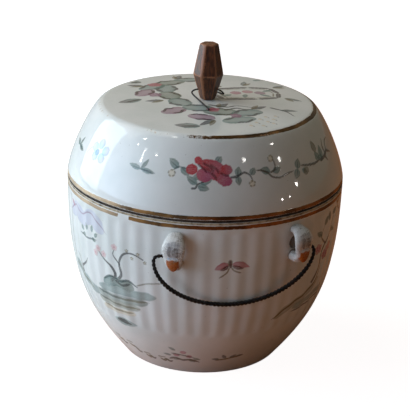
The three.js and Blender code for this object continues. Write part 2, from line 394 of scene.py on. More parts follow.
@dataclass
class Motif:
    """Strokes that lie together at one place of a glazed surface.

    Attributes:
        place: Degrees round and mm up on a wall, or x and y in mm on the lid's top.
        strokes: Its strokes, the lowest first.
    """

    place: Point
    strokes: list[Stroke] = field(default_factory=list)

    def add(self, brush: Brush, points: Sequence[Point], width: float, tint: Tint, **more: object) -> None:
        """Adds a stroke."""
        self.strokes.append(Stroke(brush, points, width, tint, **more))

    def leaf(
        self, root: Point, angle: float, size: float, *rest: object, brush: Brush = Brush.LEAF, **more: object
    ) -> None:
        """Adds a leaf or petal.

        Args:
            root: Where it grows from.
            angle: Its angle in degrees.
            size: Its length.
            rest: Its width and its tint.
            brush: Its shape.
            more: What else the stroke has.
        """
        turn = radians(angle)
        tip = (root[0] + size * cos(turn), root[1] + size * sin(turn))
        self.add(brush, [root, tip], *rest, **more)

    def dab(self, middle: Point, angle: float, length: float, *rest: object, **more: object) -> None:
        """Adds a round lobe that lies at an angle about its middle, with its width and tint last."""
        (x, y), turn = middle, radians(angle)
        dx, dy = cos(turn) * length / 2, sin(turn) * length / 2
        self.add(Brush.DAB, [(x - dx, y - dy), (x + dx, y + dy)], *rest, **more)

    def bounds(self) -> tuple[Array, Array]:
        """The lowest and highest corners that its strokes reach."""
        spines = [(stroke.spine(), stroke.width / 2 + 1) for stroke in self.strokes]
        low = np.min([spine.min(0) - margin for spine, margin in spines], 0)
        return low, np.max([spine.max(0) + margin for spine, margin in spines], 0)


def new_object(name: str, points: Array, faces: Sequence[Sequence[int]]) -> Object:
    """Makes a smooth-shaded mesh object at the origin.

    Args:
        name: The object's name.
        points: Rows of metres.
        faces: Corners of each face.

    Returns:
        The object, linked to the scene.
    """
    mesh = bpy.data.meshes.new(name)
    mesh.from_pydata([tuple(p) for p in points], [], [tuple(f) for f in faces])
    mesh.validate()
    mesh.shade_smooth()
    obj = bpy.data.objects.new(name, mesh)
    bpy.context.scene.collection.objects.link(obj)
    return obj


def paint(obj: Object, name: str, colours: Array) -> None:
    """Stores a colour and a share for each point of a mesh.

    Args:
        obj: The object.
        name: The attribute's name.
        colours: Rows of linear red, green, blue and share.
    """
    layer = obj.data.color_attributes.new(name, "FLOAT_COLOR", "POINT")
    layer.data.foreach_set("color", np.ascontiguousarray(colours, np.float32).ravel())


def grid_faces(rows: int, columns: int, closed: bool, first: int = 0) -> Faces:
    """The four-sided faces of a grid of points in rows, one row of faces after another.

    Args:
        rows: How many rows of points.
        columns: How many points in a row.
        closed: Whether the last column meets the first.
        first: The number of the grid's first point.

    Returns:
        The faces.
    """
    faces = []
    for row in range(rows - 1):
        for column in range(columns if closed else columns - 1):
            a = first + row * columns + column
            b = first + row * columns + (column + 1) % columns
            faces.append((a, b, b + columns, a + columns))
    return faces


def loft_faces(rows: int, columns: int, first: int) -> Faces:
    """The faces of a body through closed rings of points, with a flat face at each end.

    Args:
        rows: How many rings.
        columns: How many points in a ring.
        first: The number of its first point.

    Returns:
        The faces.
    """
    last = first + (rows - 1) * columns
    ends = [tuple(range(first, first + columns))[::-1], tuple(range(last, last + columns))]
    return grid_faces(rows, columns, True, first) + ends


class EnamelLayer:
    """Everything painted on one glazed surface, as one low relief that follows it."""

    PROUD = 0.1
    SUNK = 0.03

    def __init__(self, name: str, surface: Surface, spacing: float) -> None:
        """Starts an empty layer.

        Args:
            name: The piece's name.
            surface: What it lies on.
            spacing: How far apart its points are, in mm.
        """
        self.name = name
        self.surface = surface
        self.spacing = spacing
        self.points: list[Array] = []
        self.colours: list[Array] = []
        self.faces: list[tuple[int, ...]] = []
        self.count = 0

    def lay(self, motif: Motif) -> None:
        """Paints one motif: mixes its strokes on a fine grid and keeps what is covered.

        Args:
            motif: The motif.
        """
        low, high = motif.bounds()
        columns, rows = ((high - low) / self.spacing).astype(int) + 2
        across, up = (start + self.spacing * np.arange(count) for start, count in zip(low, (columns, rows)))
        spots = np.stack([grid.ravel() for grid in np.meshgrid(across, up)], -1)
        total = np.zeros(len(spots))
        colour = np.zeros((len(spots), 3))
        for number, stroke in enumerate(motif.strokes):
            cover, tint = stroke.cover(spots, number + motif.place[0])
            under = total * (1 - cover)
            total = cover + under
            safe = np.maximum(total, 1e-6)[:, None]
            colour = (tint * cover[:, None] + colour * under[:, None]) / safe
        spread = self.surface.spread(motif.place, *spots.T)
        total = total * self.surface.painted(*spread)
        lift = (self.PROUD + self.SUNK) * smooth(0, 0.35, total) - self.SUNK
        points = self.surface.at(*spread, lift)
        faces = np.array(grid_faces(rows, columns, False))
        faces = faces[total[faces].max(1) > 0.02]
        kept = np.unique(faces)
        order = np.full(len(spots), -1)
        order[kept] = np.arange(len(kept)) + self.count
        self.points.append(points[kept])
        self.colours.append(np.column_stack([colour, total])[kept])
        self.faces.extend(map(tuple, order[faces]))
        self.count += len(kept)

    def build(self, material: Material) -> Object:
        """Makes the piece and gives it its finish.

        Args:
            material: The finish.

        Returns:
            The piece.
        """
        obj = new_object(self.name, np.vstack(self.points), self.faces)
        paint(obj, "Enamel", np.vstack(self.colours))
        return finished(obj, material)


class Shader:
    """A node tree with short calls that add and join its nodes."""

    def __init__(self, tree: Tree) -> None:
        """Holds a material's, world's or group's own nodes."""
        self.tree = tree

    def feed(self, socket: Socket, value: object) -> None:
        """Joins an output to an input, or sets the input's own value, and makes a colour opaque."""
        if isinstance(value, Socket):
            self.tree.links.new(value, socket)
        else:
            socket.default_value = (*value, 1) if socket.type == "RGBA" else value

    def dress(self, node: Node, inputs: dict[str | int, object]) -> None:
        """Feeds several inputs of a node."""
        for name, value in inputs.items():
            self.feed(node.inputs[name], value)

    def node(self, kind: str, inputs: dict[str | int, object] | None = None, **settings: object) -> Node:
        """Adds a node.

        Args:
            kind: Its type, as Blender names it.
            inputs: A value or an output to join, for each input.
            settings: Its own settings.

        Returns:
            The node.
        """
        node = self.tree.nodes.new(kind)
        for name, value in settings.items():
            setattr(node, name, value)
        self.dress(node, inputs or {})
        return node

    def sum(self, operation: str, first: object, second: object = 0.0) -> Socket:
        """One step of arithmetic."""
        return self.node("ShaderNodeMath", {0: first, 1: second}, operation=operation).outputs[0]

    def times(self, first: object, second: object) -> Socket:
        """A product."""
        return self.sum("MULTIPLY", first, second)

    def between(self, share: object, low: object, high: object) -> Socket:
        """A number between two others."""
        return self.node("ShaderNodeMix", {"Factor": share, 2: low, 3: high}, data_type="FLOAT").outputs[0]

    def blend(self, share: object, first: object, second: object, kind: str = "MIX") -> Socket:
        """A colour mixed from two others."""
        inputs = {"Factor": share, 6: first, 7: second}
        return self.node("ShaderNodeMix", inputs, data_type="RGBA", blend_type=kind).outputs[2]

    def noise(self, place: object, scale: object, detail: float) -> Socket:
        """An uneven number from about 0.2 to 0.8."""
        inputs = {"Vector": place, "Scale": scale, "Detail": detail}
        return self.node("ShaderNodeTexNoise", inputs).outputs[0]

    def step(self, value: object, low: object, high: object) -> Socket:
        """Rises softly from 0 at low to 1 at high."""
        inputs = {"Value": value, "From Min": low, "From Max": high}
        return self.node("ShaderNodeMapRange", inputs, interpolation_type="SMOOTHSTEP").outputs[0]

    def group(self, tree: Tree, inputs: dict[str | int, object]) -> Node:
        """Places a node group."""
        node = self.node("ShaderNodeGroup", node_tree=tree)
        self.dress(node, inputs)
        return node

    def point_colour(self, name: str) -> bpy.types.bpy_prop_collection:
        """What is painted on the mesh's points, as the Color and Alpha outputs."""
        return self.node("ShaderNodeAttribute", attribute_name=name).outputs

    def millimetres(self) -> Socket:
        """The place on the object in mm."""
        place = self.node("ShaderNodeTexCoord").outputs["Object"]
        return self.node("ShaderNodeVectorMath", {0: place, "Scale": 1 / MM}, operation="SCALE").outputs[0]

    def facing(self, place: object, side: Sequence[float]) -> Socket:
        """How far a place or direction lies towards a side."""
        inputs = {0: place, 1: side}
        return self.node("ShaderNodeVectorMath", inputs, operation="DOT_PRODUCT").outputs["Value"]

    def bump(self, height: object, strength: float, depth: float) -> Socket:
        """A normal from a height, whose full rise is depth mm."""
        inputs = {"Height": height, "Strength": strength, "Distance": depth * MM}
        return self.node("ShaderNodeBump", inputs).outputs[0]


def new_group(name: str, takes: dict[str, float], gives: dict[str, str]) -> tuple[Shader, Node, Node]:
    """Starts a shader node group.

    Args:
        name: Its name.
        takes: Its inputs and their usual values.
        gives: Its outputs and their socket types.

    Returns:
        Its nodes, its input node and its output node.
    """
    tree = bpy.data.node_groups.new(name, "ShaderNodeTree")
    for label, usual in takes.items():
        tree.interface.new_socket(label, in_out="INPUT", socket_type="NodeSocketFloat").default_value = usual
    for label, kind in gives.items():
        tree.interface.new_socket(label, in_out="OUTPUT", socket_type=kind)
    shader = Shader(tree)
    return shader, shader.node("NodeGroupInput"), shader.node("NodeGroupOutput")


def porcelain_group() -> Tree:
    """The fired glaze: faint grey-green pooling, rare kiln specks and a slightly wavy skin."""
    gives = {"Color": "NodeSocketColor", "Roughness": "NodeSocketFloat", "Height": "NodeSocketFloat"}
    shader, takes, out = new_group("fired glaze", {"Pooling": 0.5, "Specks": 0.5}, gives)
    place = shader.millimetres()
    cloud = shader.step(shader.noise(place, 0.035, 4), 0.35, 0.7)
    pooled = shader.times(cloud, takes.outputs["Pooling"])
    colour = shader.blend(pooled, linear(231, 230, 225), linear(214, 217, 211))
    speck = shader.times(shader.step(shader.noise(place, 0.55, 1), 0.76, 0.8), takes.outputs["Specks"])
    colour = shader.blend(speck, colour, linear(120, 104, 86))
    skin = shader.noise(place, 0.16, 2)
    shader.dress(out, {"Color": colour, "Roughness": shader.between(cloud, 0.035, 0.08), "Height": skin})
    return shader.tree


def wear_group() -> Tree:
    """Where a finish has rubbed off: a mask that is fullest where Edge is high."""
    usual = {"Edge": 0.0, "Amount": 0.5, "Grain": 1.0}
    shader, takes, out = new_group("rubbed wear", usual, {"Worn": "NodeSocketFloat"})
    place = shader.millimetres()
    fine = shader.noise(place, takes.outputs["Grain"], 5)
    broad = shader.noise(place, shader.times(takes.outputs["Grain"], 0.17), 2)
    both = shader.sum("ADD", shader.times(fine, 0.55), shader.times(broad, 0.45))
    value = shader.sum("ADD", both, shader.times(takes.outputs["Edge"], 0.5))
    limit = shader.sum("SUBTRACT", 1.0, takes.outputs["Amount"])
    shader.dress(out, {"Worn": shader.step(shader.sum("SUBTRACT", value, limit), -0.06, 0.1)})
    return shader.tree


def new_material(name: str) -> tuple[Material, Shader, Node]:
    """Starts a material, and gives its nodes and its Principled shader."""
    material = bpy.data.materials.new(name)
    material.use_nodes = True
    return material, Shader(material.node_tree), material.node_tree.nodes["Principled BSDF"]


class Groups:
    """The effects that more than one finish uses, built once."""

    POOLING = 0.6

    def __init__(self) -> None:
        """Builds each group."""
        self.glaze = porcelain_group()
        self.wear = wear_group()

    def glazed(self, shader: Shader, surface: Node, specks: float = 0.0) -> tuple[Socket, Socket]:
        """Places the glaze and gives the surface its wavy skin.

        Args:
            shader: The material's nodes.
            surface: Its Principled shader.
            specks: How strong the kiln specks are.

        Returns:
            The glaze's colour and roughness.
        """
        glaze = shader.group(self.glaze, {"Pooling": self.POOLING, "Specks": specks}).outputs
        shader.dress(surface, {"Normal": shader.bump(glaze["Height"], 0.35, 0.12)})
        return glaze["Color"], glaze["Roughness"]

    def worn(self, shader: Shader, edge: object, amount: float, grain: float) -> Socket:
        """Places the wear: how much of it there is, and how fine, fullest where edge is high."""
        return shader.group(self.wear, {"Edge": edge, "Amount": amount, "Grain": grain}).outputs["Worn"]


@dataclass(frozen=True)
class PorcelainFinish:
    """Clear glaze over white porcelain.

    Attributes:
        specks: How strong its kiln specks are.
    """

    specks: float = 0.35

    def build(self, groups: Groups) -> Material:
        """Makes the material.

        Args:
            groups: The shared effects.

        Returns:
            The material.
        """
        material, shader, surface = new_material("porcelain glaze")
        colour, roughness = groups.glazed(shader, surface, self.specks)
        shader.dress(surface, {"Base Color": colour, "Roughness": roughness})
        return material


@dataclass(frozen=True)
class EnamelFinish:
    """Painted enamel that runs out softly into the glaze.

    Attributes:
        roughness: How dull the enamel is.
    """

    roughness: float = 0.2

    def build(self, groups: Groups) -> Material:
        """Makes the material.

        Args:
            groups: The shared effects.

        Returns:
            The material.
        """
        material, shader, surface = new_material("painted enamel")
        glaze, polish = groups.glazed(shader, surface)
        painted = shader.point_colour("Enamel")
        grain = shader.step(shader.noise(shader.millimetres(), 1.6, 3), 0.3, 0.62)
        cover = shader.times(painted["Alpha"], shader.between(grain, 0.9, 1.0))
        colour = shader.blend(cover, glaze, painted["Color"])
        roughness = shader.between(cover, polish, self.roughness)
        shader.dress(surface, {"Base Color": colour, "Roughness": roughness})
        return material


@dataclass(frozen=True)
class GiltFinish:
    """Thin fired gold that has rubbed through to the glaze.

    Attributes:
        gold: The gold's colour.
        tarnish: Its colour where it is brown.
        sheen_colour: A paler colour painted where the band faces the window: a painted reflection.
    """

    gold: Triple = linear(152, 112, 70)
    tarnish: Triple = linear(92, 69, 46)
    sheen_colour: Triple = linear(216, 190, 158)

    def build(self, groups: Groups) -> Material:
        """Makes the material.

        Args:
            groups: The shared effects.

        Returns:
            The material.
        """
        material, shader, surface = new_material("worn gilding")
        glaze, polish = groups.glazed(shader, surface)
        laid = shader.point_colour("Gilt")
        edge = shader.sum("SUBTRACT", 1.0, laid["Alpha"])
        kept = shader.sum("SUBTRACT", 1.0, groups.worn(shader, edge, 0.33, 0.45))
        cover = shader.times(shader.step(laid["Alpha"], 0.1, 0.5), kept)
        uneven = shader.step(shader.noise(shader.millimetres(), 0.07, 4), 0.36, 0.6)
        metal = shader.blend(uneven, self.gold, self.tarnish)
        # Where the band faces the window it is painted paler and less metallic: a painted reflection.
        painted_sheen = shader.step(laid["Color"], 0.0, 1.0)
        metal = shader.blend(shader.times(painted_sheen, shader.between(uneven, 1.0, 0.7)), metal, self.sheen_colour)
        shader.dress(surface, {
            "Base Color": shader.blend(cover, glaze, metal),
            "Metallic": shader.times(cover, shader.between(painted_sheen, 0.85, 0.25)),
            "Roughness": shader.between(cover, polish, 0.27),
        })
        return material


@dataclass(frozen=True)
class BiscuitFinish:
    """Bare fired clay where the pot stood in the kiln and where the lid sits.

    Attributes:
        name: The material's name.
        clay: Its colour.
        stain: The colour of what has rubbed into it.
    """

    name: str = "bare biscuit"
    clay: Triple = linear(196, 182, 160)
    stain: Triple = linear(124, 98, 74)

    def build(self) -> Material:
        """Makes the material."""
        material, shader, surface = new_material(self.name)
        place = shader.millimetres()
        stained = shader.step(shader.noise(place, 0.3, 6), 0.4, 0.72)
        shader.dress(surface, {
            "Base Color": shader.blend(stained, self.clay, self.stain),
            "Roughness": shader.between(stained, 0.72, 0.88),
            "Normal": shader.bump(shader.noise(place, 3.0, 4), 0.5, 0.05),
        })
        return material


@dataclass(frozen=True)
class SlipFinish:
    """The moulded duck heads: grainy white slip with painted marks.

    Attributes:
        grime_and_shade: The colour in the hollows of the grain, and of the grime and painted shade next to
            the wall and inside the tunnel.
    """

    grime_and_shade: Triple = linear(120, 98, 76)

    def build(self, groups: Groups) -> Material:
        """Makes the material.

        Args:
            groups: The shared effects.

        Returns:
            The material.
        """
        material, shader, surface = new_material("painted slip")
        painted = shader.point_colour("Slip")
        grain = shader.noise(shader.millimetres(), 1.5, 4)
        # Grime and painted shade gather where the painted share is high: next to the wall and most inside the
        # tunnel.
        worn = shader.times(groups.worn(shader, painted["Alpha"], 0.42, 1.1), 0.75)
        colour = shader.blend(worn, painted["Color"], self.grime_and_shade)
        colour = shader.blend(shader.step(grain, 0.35, 0.66), shader.blend(0.2, colour, self.grime_and_shade), colour)
        shader.dress(surface, {
            "Base Color": colour,
            "Roughness": shader.between(grain, 0.16, 0.4),
            "Normal": shader.bump(grain, 1.0, 0.42),
        })
        return material


@dataclass(frozen=True)
class WoodFinish:
    """Dark oiled hardwood, paler where hands have worn it.

    Attributes:
        heart: The wood's dark colour.
        growth: Its lighter growth lines.
        pore: Its open pores.
        worn: Its colour at worn edges.
    """

    heart: Triple = linear(52, 25, 11)
    growth: Triple = linear(108, 58, 28)
    pore: Triple = linear(34, 20, 14)
    worn: Triple = linear(156, 101, 68)

    def build(self, groups: Groups) -> Material:
        """Makes the material.

        Args:
            groups: The shared effects.

        Returns:
            The material.
        """
        material, shader, surface = new_material("worn hardwood")
        stretched = {"Vector": shader.millimetres(), "Scale": (1.0, 1.0, 0.09)}
        along = shader.node("ShaderNodeMapping", stretched).outputs[0]
        fibre = shader.noise(along, 1.3, 6)
        pores = shader.step(shader.noise(along, 4.5, 2), 0.62, 0.72)
        colour = shader.blend(shader.step(fibre, 0.34, 0.68), self.heart, self.growth)
        colour = shader.blend(shader.times(pores, 0.6), colour, self.pore)
        worn = shader.times(groups.worn(shader, shader.point_colour("Wear")["Alpha"], 0.2, 0.9), 0.85)
        height = shader.sum("SUBTRACT", fibre, shader.times(pores, 0.5))
        shader.dress(surface, {
            "Base Color": shader.blend(worn, colour, self.worn),
            "Roughness": shader.between(fibre, 0.3, 0.52),
            "Specular IOR Level": 0.52,
            "Normal": shader.bump(height, 0.6, 0.14),
        })
        return material


@dataclass(frozen=True)
class IronFinish:
    """Blackened iron wire with a little brown rust.

    Attributes:
        black: Its scale.
        rust: Its rust.
    """

    black: Triple = linear(15, 12, 10)
    rust: Triple = linear(54, 35, 23)

    def build(self, groups: Groups) -> Material:
        """Makes the material.

        Args:
            groups: The shared effects.

        Returns:
            The material.
        """
        material, shader, surface = new_material("blackened wire")
        rusted = shader.times(groups.worn(shader, 0.0, 0.46, 0.8), 0.55)
        shader.dress(surface, {
            "Base Color": shader.blend(rusted, self.black, self.rust),
            "Metallic": shader.between(rusted, 0.55, 0.1),
            "Roughness": shader.between(rusted, 0.46, 0.75),
            "Normal": shader.bump(shader.noise(shader.millimetres(), 3.2, 3), 0.4, 0.06),
        })
        return material


@dataclass(frozen=True)
class Section:
    """A chain of radius and height points in mm, walked by length.

    Attributes:
        chain: The points, with the surface's outside on the right of the walk.
    """

    chain: Array

    def walk(self, along: Array, lift: float) -> tuple[Array, Array]:
        """Radius and height at a length, raised off the surface.

        Args:
            along: Lengths in mm.
            lift: How far outside the surface.

        Returns:
            Radii and heights.
        """
        total = lengths(self.chain)
        radius, height = (np.interp(along, total, side) for side in self.chain.T)
        inward, out = (np.interp(along, total, np.gradient(side, total)) for side in self.chain.T)
        size = np.hypot(out, inward)
        return radius + lift * out / size, height - lift * inward / size

    def at_height(self, height: float) -> float:
        """The length at which the chain passes a height."""
        return float(np.interp(height, self.chain[:, 1], lengths(self.chain)))


def arc(start: Point, corner: Point, end: Point, steps: int = 5) -> list[Point]:
    """A rounded corner: points from start to end, drawn towards the corner."""
    t = np.linspace(0, 1, steps)[:, None]
    points = (1 - t) ** 2 * np.array(start) + 2 * t * (1 - t) * np.array(corner) + t**2 * np.array(end)
    return [tuple(point) for point in points]


def finished(obj: Object, *materials: Material) -> Object:
    """Gives an object its materials, and returns it."""
    for material in materials:
        obj.data.materials.append(material)
    return obj


def refinish(body: Object, columns: int, stretches: Sequence[tuple[int, int, int]]) -> None:
    """Gives whole rows of a body's faces another of its materials.

    Args:
        body: The body of revolution.
        columns: How many faces are in a row.
        stretches: The first row, the row after the last and the material's number.
    """
    for first, last, number in stretches:
        for face in body.data.polygons[first * columns : last * columns]:
            face.material_index = number


def lathe(name: str, rows: Sequence[Array], low: float, high: float) -> Object:
    """A closed body of revolution.

    Args:
        name: The object's name.
        rows: Rings of points in metres, from the first centre to the last.
        low: The height of the first centre, in mm.
        high: The height of the last centre, in mm.

    Returns:
        The object.
    """
    columns = len(rows[0])
    faces = grid_faces(len(rows), columns, True)
    first, top = len(rows) * columns, (len(rows) - 1) * columns
    for column in range(columns):
        after = (column + 1) % columns
        faces += [(first, after, column), (top + column, top + after, first + 1)]
    return new_object(name, np.vstack([*rows, [(0, 0, low * MM), (0, 0, high * MM)]]), faces)


@dataclass(frozen=True)
class PotBody:
    """The fluted porcelain pot.

    Attributes:
        wall: Its outside.
        thickness: Its wall.
        floor: Its floor's thickness.
        ring_width: The foot ring's width.
        ring_height: The foot ring's height.
        columns: Points round it.
    """

    wall: PotWall = PotWall()
    thickness: float = 4.5
    floor: float = 5.0
    ring_width: float = 5.5
    ring_height: float = 3.0
    columns: int = 416

    def inside(self, height: float) -> float:
        """The cavity's radius at a height."""
        out, _ = self.wall.profile.outward(height)
        return self.wall.profile.radius(height) - self.thickness / out

    def build(self, glaze: Material, biscuit: Material, grime_and_shade: Material) -> Object:
        """Makes the pot as one closed body.

        Args:
            glaze: Its main finish.
            biscuit: The foot ring's finish.
            grime_and_shade: The seat's finish: dark grime on the bare seat, which also stands in for the
                shade in the seam.

        Returns:
            The pot.
        """
        angles, low = around(self.columns), self.ring_height
        recess, round_off = FOOT - self.ring_width, 1.2
        under = [(recess * share, low) for share in (0.1, 0.5, 0.9)]
        under += arc((recess - round_off, low), (recess, low), (recess, low - round_off))
        stand = arc((recess, EASE), (recess, 0), (recess + EASE, 0))
        stand += arc((FOOT - EASE, 0), (FOOT, 0), (self.wall.profile.radius(EASE), EASE))
        lip = arc((BELLY - 0.02, RIM - EASE), (BELLY, RIM), (BELLY - EASE, RIM))
        mouth = self.inside(RIM)
        lip += arc((mouth + EASE, RIM), (mouth, RIM), (mouth, RIM - EASE))
        bottom = low + self.floor
        inner = [(self.inside(height), height) for height in np.linspace(RIM - 2, bottom + 4, 40)]
        foot = self.inside(bottom)
        inner += arc((self.inside(bottom + 3), bottom + 3), (foot, bottom), (foot - 4, bottom))
        inner += [(foot * share, bottom) for share in (0.6, 0.2)]
        rows = [ring(radius, height, angles) for radius, height in under + stand]
        outer_start = len(rows)
        for height in np.linspace(EASE, RIM - EASE, 116)[1:-1]:
            rows.append(self.wall.at(angles, np.full(self.columns, height), np.zeros(self.columns)))
        seat = len(rows) + 1
        rows += [ring(radius, height, angles) for radius, height in lip + inner]
        pot = finished(lathe("pot_porcelain", rows, low, bottom), glaze, biscuit, grime_and_shade)
        refinish(pot, self.columns, [(len(under), outer_start - 1, 1), (seat, seat + 6, 2)])
        return pot


@dataclass(frozen=True)
class Lid:
    """The porcelain lid: shoulder, rounded edge ring, low dome, and a flange in the mouth.

    Attributes:
        shoulder: Its outside below the ring.
        top: Its dome.
        thickness: Its wall.
        flange_out: The flange's outside radius.
        flange_in: The flange's inside radius.
        flange_depth: How far the flange reaches into the pot.
        round_off: How far the ring's rounding reaches each way.
        hole_run: How far from the middle the tie wire's holes are.
        hole_turn: Their angle from the front, in degrees.
        hole_radius: Their radius.
        columns: Points round it.
    """

    shoulder: LidShoulder = LidShoulder()
    top: LidTop = LidTop()
    thickness: float = 4.2
    flange_out: float = BELLY - 5.5
    flange_in: float = BELLY - 9.0
    flange_depth: float = 8.0
    round_off: float = 2.2
    hole_run: float = 25.9
    hole_turn: float = -11.8
    hole_radius: float = 1.3
    columns: int = 288

    def outside(self) -> list[Point]:
        """The outer chain from the lid's edge to near its middle."""
        heights = np.linspace(LID_EDGE + EASE, RING_HEIGHT - self.round_off, 72)
        chain = [(self.shoulder.profile.radius(height), height) for height in heights]
        inner = RING_RADIUS - self.round_off
        chain += arc(chain[-1], (RING_RADIUS, RING_HEIGHT), (inner, self.top.height(inner)), 9)[1:]
        return chain + [(radius, self.top.height(radius)) for radius in np.linspace(inner, 1.5, 36)[1:]]

    def build(self, glaze: Material, biscuit: Material, grime_and_shade: Material) -> Object:
        """Makes the lid as one closed body with the two tie holes.

        Args:
            glaze: Its main finish.
            biscuit: The flange's finish.
            grime_and_shade: The seat's finish: dark grime on the bare seat, which also stands in for the
                shade in the seam.

        Returns:
            The lid.
        """
        angles = around(self.columns)
        profile = self.shoulder.profile
        under = [(radius, self.top.height(radius) - self.thickness) for radius in np.linspace(2, 69, 22)]
        for height in np.linspace(RING_HEIGHT - self.thickness, LID_EDGE + self.thickness, 30):
            out, _ = profile.outward(height)
            under.append((profile.radius(height) - self.thickness / out, height))
        low, inner, outer = LID_EDGE - self.flange_depth, self.flange_in, self.flange_out
        flange = [(inner, LID_EDGE + 1), *arc((inner, low + 1), (inner, low), (inner + 1, low))]
        flange += arc((outer - 1, low), (outer, low), (outer, low + 1))
        seat = arc((outer, LID_EDGE - 0.8), (outer, LID_EDGE), (outer + 0.8, LID_EDGE))
        seat += arc((BELLY - EASE, LID_EDGE), (BELLY, LID_EDGE), (BELLY - 0.01, LID_EDGE + EASE))
        chain = under + flange + seat
        rows = [ring(radius, height, angles) for radius, height in chain + self.outside()[1:]]
        middle = self.top.height(0.0)
        lid = lathe("lid_porcelain", rows, middle - self.thickness, middle)
        finished(lid, glaze, biscuit, grime_and_shade)
        first, seat_start, end = len(under) + 1, len(under) + len(flange) + 1, len(chain)
        refinish(lid, self.columns, [(first, seat_start, 1), (seat_start, end, 2)])
        for turn in (self.hole_turn, self.hole_turn + 180):
            spot = Vector(ring(self.hole_run, middle, radians(turn)))
            bore(lid, spot, Vector((0, 0, 1)), self.hole_radius, 20)
        return lid


def evaluated(obj: Object) -> None:
    """Replaces an object's mesh by what its modifiers make of it.

    Args:
        obj: The object.
    """
    bpy.context.view_layer.update()
    mesh = bpy.data.meshes.new_from_object(obj.evaluated_get(bpy.context.evaluated_depsgraph_get()))
    mesh.name = obj.name
    obj.modifiers.clear()
    obj.data = mesh


def bore(obj: Object, centre: Vector, axis: Vector, radius: float, length: float) -> None:
    """Cuts a round hole.

    Args:
        obj: What it is cut in.
        centre: The hole's middle in metres.
        axis: Its direction.
        radius: Its radius in mm.
        length: The cut's length in mm.
    """
    turn = axis.to_track_quat("Z", "Y").to_matrix()
    ends = (-length / 2, length / 2)
    cutter = lathe("cutter", [ring(radius, height, around(20)) for height in ends], *ends)
    cutter.data.transform(Matrix.Translation(centre) @ turn.to_4x4())
    cut = obj.modifiers.new("bore", "BOOLEAN")
    cut.operation = "DIFFERENCE"
    cut.solver = "EXACT"
    cut.object = cutter
    evaluated(obj)
    bpy.data.objects.remove(cutter)


@dataclass(frozen=True)
class GiltBand:
    """A brushed band of gold round the pot.

    Attributes:
        name: The piece's name.
        chain: The outer chain that it lies on, in mm.
        low: The height of its lower edge.
        high: The height of its upper edge.
        gaps: Worn stretches: middle and half width in degrees, and how fully they are worn.
        seed: Its unevenness.
        painted_sheen: The stretch towards the window that gets a paler painted reflection, in the same way.
    """

    name: str
    chain: Sequence[Point]
    low: float
    high: float
    gaps: Sequence[Triple] = ()
    seed: float = 1.0
    painted_sheen: Triple = (-90.0, 40.0, 0.9)

    PROUD = 0.05
    SUNK = 0.03

    def stretch(self, angles: Array, middle: float, half: float, full: float) -> Array:
        """How far each angle lies in a stretch, from 0 to its full share."""
        away = np.abs((np.degrees(angles) - middle + 180) % 360 - 180)
        return full * (1 - smooth(half * 0.7, half * 1.3, away))

    def build(self, material: Material) -> Object:
        """Makes the band as a low relief whose edges dip into the glaze.

        Args:
            material: Its finish.

        Returns:
            The band.
        """
        columns, rows = 720, 9
        angles, laid = around(columns), np.ones(columns)
        section = Section(np.array(self.chain))
        start, end = section.at_height(self.low), section.at_height(self.high)
        for gap in self.gaps:
            laid = laid * (1 - self.stretch(angles, *gap))
        wobble = 0.07 * ripple(self.seed, angles * 9, np.cos(angles) * 5) * (end - start)
        points, shares = [], []
        for row, across in enumerate(np.linspace(-1, 1, rows)):
            along = (start + end) / 2 + across * (end - start) / 2 + wobble
            edge = row in (0, rows - 1)
            radius, height = section.walk(along, -self.SUNK if edge else self.PROUD)
            points.append(ring(radius, height, angles))
            shares.append(laid * (0.0 if edge else 1 - 0.35 * abs(across) ** 3))
        band = new_object(self.name, np.vstack(points), grid_faces(rows, columns, True))
        # The colour channels carry the stretch towards the window that is painted paler: a painted
        # reflection.
        painted_sheen = np.tile(self.stretch(angles, *self.painted_sheen), rows)
        paint(band, "Gilt", np.stack([painted_sheen, painted_sheen, painted_sheen, np.concatenate(shares)], -1))
        return finished(band, material)


def tube(path: Array, radius: Array, sides: int) -> tuple[Array, Faces]:
    """A round tube with closed ends along a chain of points.

    Args:
        path: Rows of metres.
        radius: Its radius in mm at each point.
        sides: Points round it.

    Returns:
        Its points and faces.
    """
    run = np.gradient(path, axis=0)
    run /= np.linalg.norm(run, axis=1)[:, None]
    side = np.cross(run[0], [0.0, 0.0, 1.0])
    if np.linalg.norm(side) < 0.1:
        side = np.cross(run[0], [0.0, 1.0, 0.0])
    angles = around(sides)[:, None]
    points = []
    for place, direction, size in zip(path, run, radius):
        side = side - direction * side.dot(direction)
        side /= np.linalg.norm(side)
        other = np.cross(direction, side)
        points.append(place + size * MM * (np.cos(angles) * side + np.sin(angles) * other))
    return np.vstack(points), loft_faces(len(path), sides, 0)


